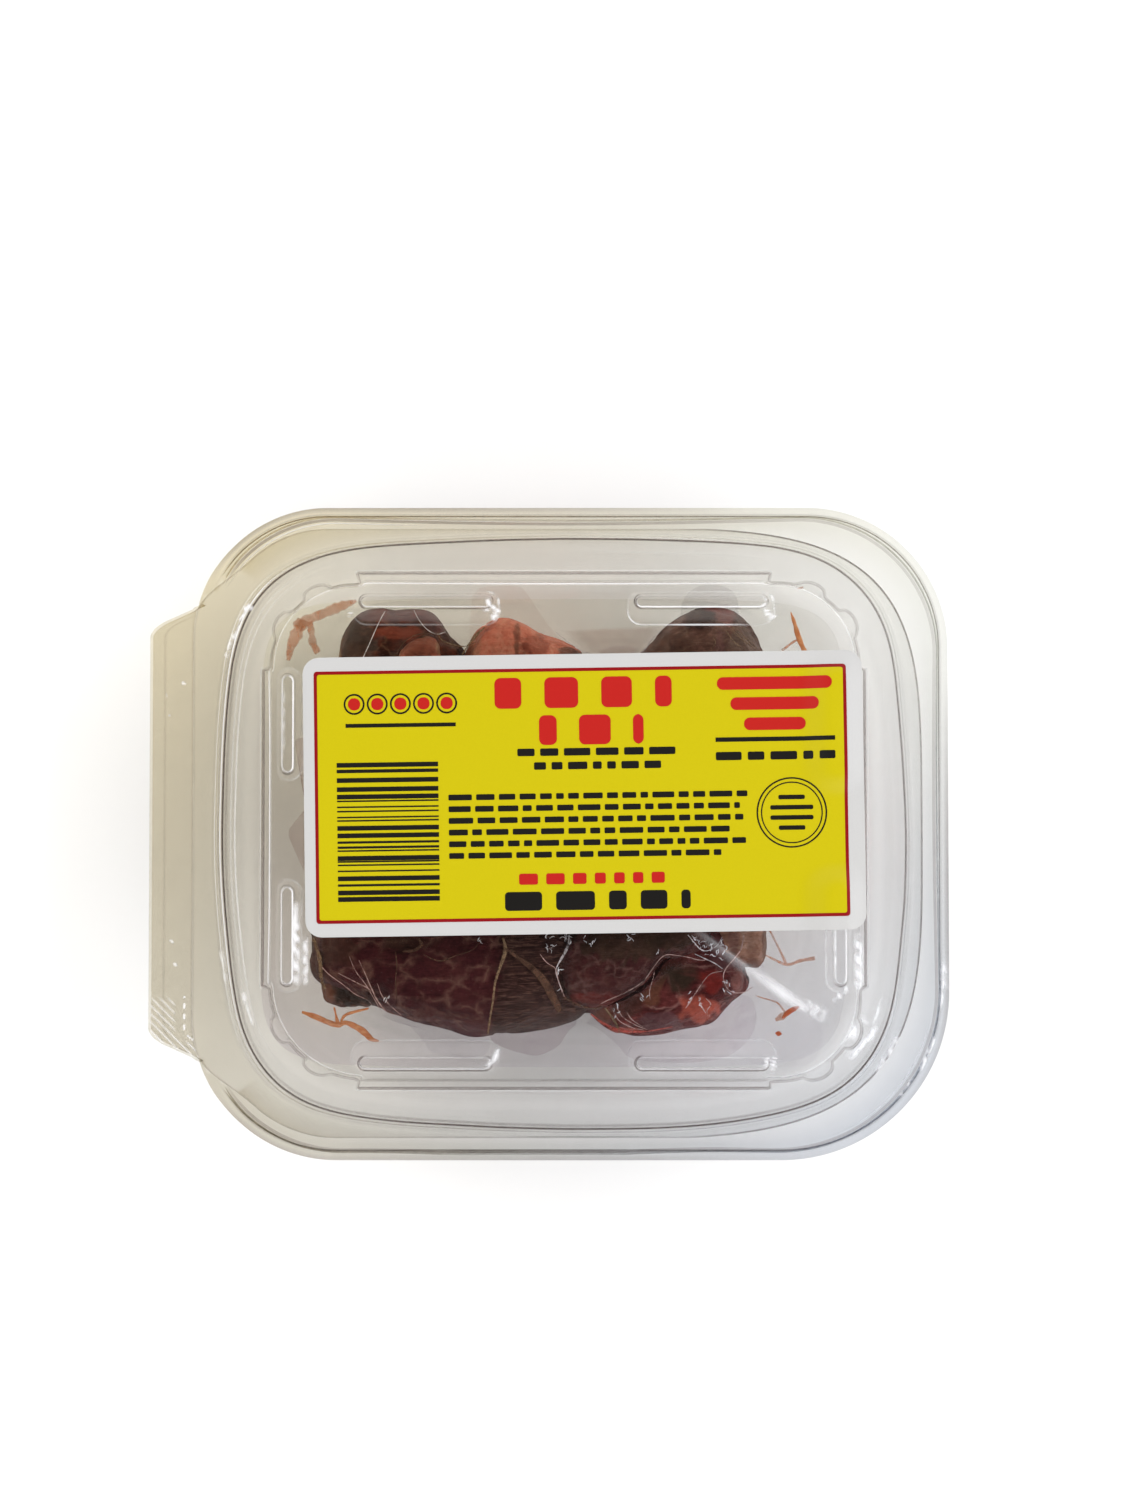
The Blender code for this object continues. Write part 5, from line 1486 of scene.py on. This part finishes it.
def pork_zones(name, points):
    """Stringy dark zone of a piece, and the share and tone of the soft spots that lie on it, by place."""
    x, y = points[..., 0] / MM, points[..., 1] / MM
    zone = np.zeros_like(x)
    if name == "pork_lower_left":
        seam = np.interp(y, (-37.0, -30.0, -24.0, -19.0), (-11.2, -10.2, -8.8, -8.2))
        zone = smooth(x, seam, seam + 0.8) * 0.9
    elif name == "pork_upper_right":
        zone = 0.25 * smooth(x, 33.0, 34.5)
    tone = np.zeros(x.shape + (3,))
    share = np.zeros_like(x)
    for k, (spot_x, spot_y, half_x, half_y, kind, strength) in enumerate(PORK_SPOTS.get(name, ())):
        own = strength * soft_spot(points, spot_x, spot_y, half_x, half_y, k)
        total = share + own - share * own
        part = np.divide(own, total, out=np.zeros_like(own), where=total > 0)[..., None]
        tone = tone * (1.0 - part) + np.array(SPOT_TONES[kind]) * part
        share = total
    return {"zone": zone, "spot": share, "spot_tone": tone}


class PORKPACK_OT_pork(bpy.types.Operator):
    """Pieces of roast pork: each a closed block whose reach follows its own outline, with uneven relief."""
    bl_idname = "porkpack.pork"
    bl_label = "Pork"

    def execute(self, context):
        sizes = context.scene.pack_sizes
        finishes = {kind: pork_finish(kind) for kind in PORK_FINISHES}
        for name, (lump, kind) in lumps().items():
            piece = Piece()
            zones = pork_zones(name, piece.add_lump(lump.surface(sizes.lump_around, sizes.lump_rows)))
            place(piece.make(name, finishes[kind], values=zones), "pouch", "pork_in_film")
        return {"FINISHED"}


def softened(field, passes):
    """A field with each point moved to the mean of itself and its neighbours, this many times."""
    for _ in range(passes):
        inner = field.copy()
        sides = field[:-2, 1:-1] + field[2:, 1:-1] + field[1:-1, :-2] + field[1:-1, 2:]
        inner[1:-1, 1:-1] = (4 * field[1:-1, 1:-1] + 2 * sides + field[:-2, :-2] + field[2:, 2:]
                             + field[:-2, 2:] + field[2:, :-2]) / 16.0
        field = inner
    return field


def draped(field, drop):
    """The lowest sheet over a field that falls by no more than drop from one point to the next."""
    for _ in range(int(18 * MM / (drop / 1.6))):
        wider = field.copy()
        wider[1:] = np.maximum(wider[1:], field[:-1] - drop)
        wider[:-1] = np.maximum(wider[:-1], field[1:] - drop)
        wider[:, 1:] = np.maximum(wider[:, 1:], field[:, :-1] - drop)
        wider[:, :-1] = np.maximum(wider[:, :-1], field[:, 1:] - drop)
        if np.array_equal(wider, field):
            break
        field = wider
    return field


def film_grid(step):
    """Points of the pouch seen from above: rows along X, each as long as the bowed outline is there."""
    rows = int(2 * POUCH_HALF[1] / step)
    columns = int(2 * POUCH_HALF[0] / step)
    t = np.linspace(-FILM_ENDS, FILM_ENDS, rows)
    s = np.linspace(-1.0, 1.0, columns)
    length = POUCH_HALF[0] * (1.0 - np.abs(t) ** 8) ** 0.125
    x = POUCH_MIDDLE[0] + s[None, :] * length[:, None]
    y = POUCH_MIDDLE[1] + POUCH_HALF[1] * np.broadcast_to(t[:, None], x.shape)
    return x, y


def widened(field):
    """The field with each point raised to the highest of its eight neighbours, to clear a steep side."""
    rows = np.maximum(field, np.maximum(np.roll(field, 1, axis=0), np.roll(field, -1, axis=0)))
    return np.maximum(rows, np.maximum(np.roll(rows, 1, axis=1), np.roll(rows, -1, axis=1)))


def film_heights(x, y, step):
    """Top and bottom of the film: drawn down on the pork, slack beside it, and shut along the skirt."""
    top = np.full_like(x, SKIRT_MIDDLE)
    bottom = np.full_like(x, SKIRT_MIDDLE)
    for lump, _ in lumps().values():
        over = lump.height(x, y)
        top = np.maximum(top, np.where(over > 0, over + FILM_CLEAR, 0.0))
        depth = lump.top + lump.bottom - over
        bottom = np.minimum(bottom, np.where(over > 0, depth - FILM_CLEAR, 1.0))
    steep = 1.9 * step
    top = softened(draped(widened(top), steep), 3)
    bottom = -softened(draped(widened(-bottom), steep), 3)
    edges = (POUCH_HALF[k] - np.abs(line - POUCH_MIDDLE[k]) for k, line in enumerate((x, y)))
    open_share = smooth(np.minimum(*edges), 0.2 * MM, 1.7 * MM)
    flat = np.stack((x, y), axis=-1)
    pucker = waves(flat, 9.0 * MM, 61) * 0.35 * MM + waves(flat, 3.0 * MM, 62) * 0.10 * MM
    sheets = []
    open_top = np.maximum(top, SKIRT_MIDDLE + SLACK)
    for side, sheet in ((1.0, open_top), (-1.0, np.minimum(bottom, SKIRT_MIDDLE - SLACK))):
        shut = SKIRT_MIDDLE + side * SHUT_HALF
        sheets.append(shut + (sheet - shut) * open_share + pucker * open_share * 0.5)
    return sheets


class PORKPACK_OT_film(bpy.types.Operator):
    """Vacuum film: two height fields over and under the pork that meet round the pouch's edge."""
    bl_idname = "porkpack.film"
    bl_label = "Film"

    def execute(self, context):
        step = context.scene.pack_sizes.film_step
        x, y = film_grid(step)
        top, bottom = film_heights(x, y, step)
        piece = Piece()
        piece.add_plate(np.stack((x, y, top), axis=-1), np.stack((x, y, bottom), axis=-1))
        free = np.min([lump.share_at(x, y) for lump, _ in lumps().values()], axis=0)
        slack = smooth(free, 1.0, 1.12)
        flat = np.stack((x, y), axis=-1)
        cloud = 0.5 + 0.5 * np.clip(waves(flat, 14.0 * MM, 71), -1.0, 1.0)
        milk = 0.0012 + slack * (0.003 + 0.014 * cloud)
        across = ((x - POUCH_LOW.x) / (POUCH_HIGH.x - POUCH_LOW.x))[..., None]
        up = ((y - POUCH_LOW.y) / (POUCH_HIGH.y - POUCH_LOW.y))[..., None]
        near, far = ((1.0 - across) * np.array(left) + across * np.array(right) for left, right in FILM_TONES)
        tone = ((1.0 - up) * near + up * far).reshape(-1, 3)
        film = pouch_film(context.scene.pack_looks)
        item = piece.make("pouch_film", film, sharp=70,
                          values={"milk": np.tile(milk.ravel(), 2), "film_tone": np.tile(tone, (2, 1))})
        place(item, "pouch", "pork_in_film")
        return {"FINISHED"}


def ribbon(points, halves, count=46, across=9):
    """A flat run: a smooth line through the points with a lens section whose half width varies along it.

    Returns its points, how thick it is at each as a share, and a share that fades to its edges."""
    line = through(np.array(points) * MM, count)
    half = through(np.array(halves)[:, None] * (MM / 100), count)[:, 0]
    along = np.gradient(line, axis=0)
    along /= np.maximum(np.linalg.norm(along, axis=1, keepdims=True), 1e-12)
    side = np.stack((-along[:, 1], along[:, 0]), axis=-1)
    s = np.linspace(-1.0, 1.0, across)
    ragged = 1.0 + 0.12 * waves(line, 1.6 * MM, int(abs(points[0][0]) * 10))
    width = np.maximum(half * ragged, 0.03 * MM)
    flat = line[:, None, :] + side[:, None, :] * (width[:, None] * s)[..., None]
    thick = np.broadcast_to(np.sqrt(1.0 - 0.98 * s ** 2), flat.shape[:2])
    return flat, thick, np.broadcast_to(held(2.2 * (1.0 - s ** 2)), thick.shape)


FILM_TOP = []                      # the film's grid along X and its heights, once they are known


def film_top_at(x, y):
    """Height of the film's upper sheet at any points, read from its own grid by the nearest point."""
    if not FILM_TOP:
        grid_x, grid_y = film_grid(FILM_STEP)
        FILM_TOP.extend((grid_x, film_heights(grid_x, grid_y, FILM_STEP)[0]))
    grid_x, top = FILM_TOP
    last_row, last_column = top.shape[0] - 1, top.shape[1] - 1
    share = (y - POUCH_MIDDLE[1]) / POUCH_HALF[1] / FILM_ENDS
    row = np.round(np.clip((share + 1) / 2 * last_row, 0, last_row)).astype(int)
    share = (x - POUCH_MIDDLE[0]) / (grid_x[row, -1] - POUCH_MIDDLE[0])
    column = np.clip(np.round((share + 1) / 2 * last_column), 0, last_column).astype(int)
    return top[row, column]


def make_runs(table, material, sink, thickness):
    for name, (points, halves) in table.items():
        flat, thick, fade = ribbon(points, halves)
        piece = Piece()
        piece.add_lens(flat, film_top_at(flat[..., 0], flat[..., 1]) - sink, thickness * thick)
        place(piece.make(name, material, values={"fade": np.tile(fade.ravel(), 2)}), "pouch", "pork_in_film")


class PORKPACK_OT_juice(bpy.types.Operator):
    """Juice set between the sheets: lens sections carried along smooth lines, and fainter broad smears."""
    bl_idname = "porkpack.juice"
    bl_label = "Juice"

    def execute(self, context):
        looks = context.scene.pack_looks
        red = {name: run for name, run in JUICE.items() if "lower_right" in name}
        rest = {name: run for name, run in JUICE.items() if name not in red}
        make_runs(rest, juice_finish("set_juice", looks.juice, looks.juice_deep), *JUICE_LAY)
        make_runs(red, juice_finish("set_juice_red", RED_JUICE, RED_JUICE_DEEP), *JUICE_LAY)
        make_runs(SMEARS, stained_film("juice_smear", SMEAR_COLOR, 0.52, thin=0.6), *SMEAR_LAY)
        return {"FINISHED"}


def wrinkle_runs():
    """Short hooked lines of four points, strewn by a seeded draw round each place of the table."""
    draw = np.random.default_rng(12)
    runs = []
    for x, y, spread_x, spread_y, count, lean, length in WRINKLES:
        for _ in range(count):
            start = np.array((x, y)) + draw.uniform(-1.0, 1.0, 2) * (spread_x, spread_y)
            heading = math.radians(lean) + draw.normal(0.0, 0.5)
            points = [start]
            for _ in range(3):
                heading += draw.normal(0.0, 0.7)
                step = length / 3 * draw.uniform(0.6, 1.3)
                points.append(points[-1] + step * np.array((math.cos(heading), math.sin(heading))))
            widest = draw.uniform(5.0, 13.0)
            runs.append((points, (3, widest, widest, 3)))
    return runs


class PORKPACK_OT_folds(bpy.types.Operator):
    """Folds of film over the pork: one piece for each tone, of lens sections carried along smooth lines."""
    bl_idname = "porkpack.folds"
    bl_label = "Film folds"

    def execute(self, context):
        # The pale and wet folds are painted highlights, and the deep fold a painted shadow
        for tone, color in FOLD_TONES.items():
            piece, fades = Piece(), []
            counts = (14, 5) if tone == "wet" else (46, 7)
            for points, halves in FOLDS[tone] if tone in FOLDS else wrinkle_runs():
                flat, thick, fade = ribbon(points, np.array(halves) * FOLD_WIDTH.get(tone, 1.0), *counts)
                fades.append(np.tile(fade.ravel(), 2))
                level = film_top_at(flat[..., 0], flat[..., 1]) + 0.03 * MM
                piece.add_lens(flat, level, 0.05 * MM * thick)
            finish = stained_film("fold_" + tone, color, 0.9, patch_scale=0.9)
            values = {"fade": np.concatenate(fades)}
            place(piece.make("film_folds_" + tone, finish, values=values), "pouch", "pork_in_film")
        return {"FINISHED"}


class PORKPACK_OT_patches(bpy.types.Operator):
    """Wet patches where slack sheets touch: thin plates of rings from each outline to its middle."""
    bl_idname = "porkpack.patches"
    bl_label = "Wet patches"

    def execute(self, context):
        for k, (name, (outline, tint, crisp)) in enumerate(PATCHES.items()):
            closed = np.array(outline + outline[:1]) * MM
            line = through(closed, 161)[:-1]
            middle = line.mean(axis=0)
            share = np.array((1.0, 0.82, 0.64, 0.2))[:, None, None]
            depth = np.repeat((crisp, 0.5 + 0.5 * crisp, 1.0, 1.0), len(line))
            flat = middle + (line - middle)[None] * share
            level = np.full(flat.shape[:2] + (1,), SKIRT_MIDDLE + (0.1 * k - 0.35) * MM)
            top = np.concatenate((flat, level + 0.02 * MM), axis=-1)
            under = np.concatenate((flat, level - 0.02 * MM), axis=-1)
            piece = Piece()
            piece.add_lump(np.concatenate((under[::-1], top)))
            values = {"depth": np.concatenate((depth[::-1], depth, (1.0, 1.0)))}
            place(piece.make(name, wet_film(name + "_film", tint), values=values), "pouch", "pork_in_film")
        return {"FINISHED"}


# The studio: name, place in metres, size in metres, power in watts and colour
LAMPS = (
    ("lamp_left", (-1.5, 1.2, 1.4), (1.8, 1.6), 32.0, (1.0, 0.985, 0.96)),
    ("lamp_right", (1.7, 0.4, 1.4), (1.5, 1.8), 32.0, (0.98, 0.985, 1.0)),
    ("lamp_front", (0.2, -1.7, 1.4), (1.8, 1.3), 26.0, (1.0, 1.0, 1.0)),
)
FLOOR_HALF = 6.0


def lay_floor():
    mesh = bpy.data.meshes.new("floor")
    corners = [(x * FLOOR_HALF, y * FLOOR_HALF, 0) for x, y in ((-1, -1), (1, -1), (1, 1), (-1, 1))]
    mesh.from_pydata(corners, [], [(0, 1, 2, 3)])
    finish = Finish("floor_paint")
    paint = finish.ramp(finish.noise(finish.place(), 0.01, 2.0), ((0.0, 0.9), (1.0, 0.92)))
    mesh.materials.append(finish.done(finish.matte(paint)))
    add_item("floor", mesh)


def light_sky(scene):
    """Even soft light from the sides, and a dim patch overhead so that flat plastic mirrors little."""
    world = bpy.data.worlds.new("soft_sky")
    world.use_nodes = True
    scene.world = world
    nodes = world.node_tree.nodes
    links = world.node_tree.links
    coordinates = nodes.new("ShaderNodeTexCoord")
    split = nodes.new("ShaderNodeSeparateXYZ")
    ramp = nodes.new("ShaderNodeValToRGB")
    links.new(coordinates.outputs["Generated"], split.inputs[0])
    links.new(split.outputs["Z"], ramp.inputs[0])
    set_stops(ramp.color_ramp, ((0.0, 0.95), (0.55, 0.95), (0.8, 0.3), (0.93, 0.015)))
    background = nodes["Background"]
    links.new(ramp.outputs["Color"], background.inputs["Color"])
    background.inputs["Strength"].default_value = 1.0


def hang_lamps():
    """The soft lamps, each turned to face the middle of the floor."""
    for name, spot, size, power, color in LAMPS:
        lamp = bpy.data.lights.new(name, "AREA")
        lamp.shape = "RECTANGLE"
        lamp.size, lamp.size_y = size
        lamp.energy = power
        lamp.color = color
        holder = add_item(name, lamp)
        holder.location = spot
        holder.visible_glossy = False
        toward = -np.array(spot)
        holder.rotation_euler = (math.acos(-toward[2] / np.linalg.norm(toward)), 0.0,
                                 math.atan2(toward[1], toward[0]) - math.pi / 2)


def set_camera(scene):
    """The reference's camera: its lens makes VIEW_HEIGHT fill the frame's height at VIEW_AWAY."""
    camera = bpy.data.cameras.new("camera")
    camera.sensor_fit = "VERTICAL"
    camera.sensor_height = SENSOR_HEIGHT
    camera.lens = SENSOR_HEIGHT * VIEW_AWAY / VIEW_HEIGHT
    camera.clip_start = 0.01
    holder = add_item("camera", camera)
    holder.location = (VIEW_AIM[0], VIEW_AIM[1] - VIEW_AWAY * math.sin(VIEW_TILT),
                       VIEW_AIM[2] + VIEW_AWAY * math.cos(VIEW_TILT))
    holder.rotation_euler = (VIEW_TILT, 0.0, 0.0)
    scene.camera = holder


class PORKPACK_OT_stage(bpy.types.Operator):
    """Plain pale floor, a soft sky that is dim overhead, three soft lamps and the camera."""
    bl_idname = "porkpack.stage"
    bl_label = "Stage"

    def execute(self, context):
        scene = context.scene
        lay_floor()
        light_sky(scene)
        hang_lamps()
        set_camera(scene)
        scene.view_settings.view_transform = "Standard"
        scene.cycles.transparent_max_bounces = 48
        return {"FINISHED"}


class PORKPACK_PT_panel(bpy.types.Panel):
    bl_label = "Pork Pack"
    bl_idname = "PORKPACK_PT_panel"
    bl_space_type = "VIEW_3D"
    bl_region_type = "UI"
    bl_category = "Pork Pack"

    def draw(self, context):
        for group in (context.scene.pack_sizes, context.scene.pack_looks):
            box = self.layout.box()
            for key in group.bl_rna.properties.keys():
                if key not in ("rna_type", "name"):
                    box.prop(group, key)
        for operator in OPERATORS:
            self.layout.operator(operator.bl_idname)


OPERATORS = (PORKPACK_OT_stage, PORKPACK_OT_tray, PORKPACK_OT_lid, PORKPACK_OT_tear_strip, PORKPACK_OT_label,
             PORKPACK_OT_print, PORKPACK_OT_pork, PORKPACK_OT_film, PORKPACK_OT_juice,
             PORKPACK_OT_folds, PORKPACK_OT_patches)
CLASSES = (PackSizes, PackLooks, *OPERATORS, PORKPACK_PT_panel)


def register():
    for item in CLASSES:
        bpy.utils.register_class(item)
    bpy.types.Scene.pack_sizes = PointerProperty(type=PackSizes)
    bpy.types.Scene.pack_looks = PointerProperty(type=PackLooks)


def unregister():
    del bpy.types.Scene.pack_looks
    del bpy.types.Scene.pack_sizes
    for item in reversed(CLASSES):
        bpy.utils.unregister_class(item)


def main():
    """Registers the add-on and makes every piece in order."""
    register()
    bpy.ops.porkpack.stage()
    bpy.ops.porkpack.tray()
    bpy.ops.porkpack.lid()
    bpy.ops.porkpack.tear_strip()
    bpy.ops.porkpack.label()
    bpy.ops.porkpack.print()
    bpy.ops.porkpack.pork()
    bpy.ops.porkpack.film()
    bpy.ops.porkpack.juice()
    bpy.ops.porkpack.folds()
    bpy.ops.porkpack.patches()


if __name__ == "__main__":
    main()
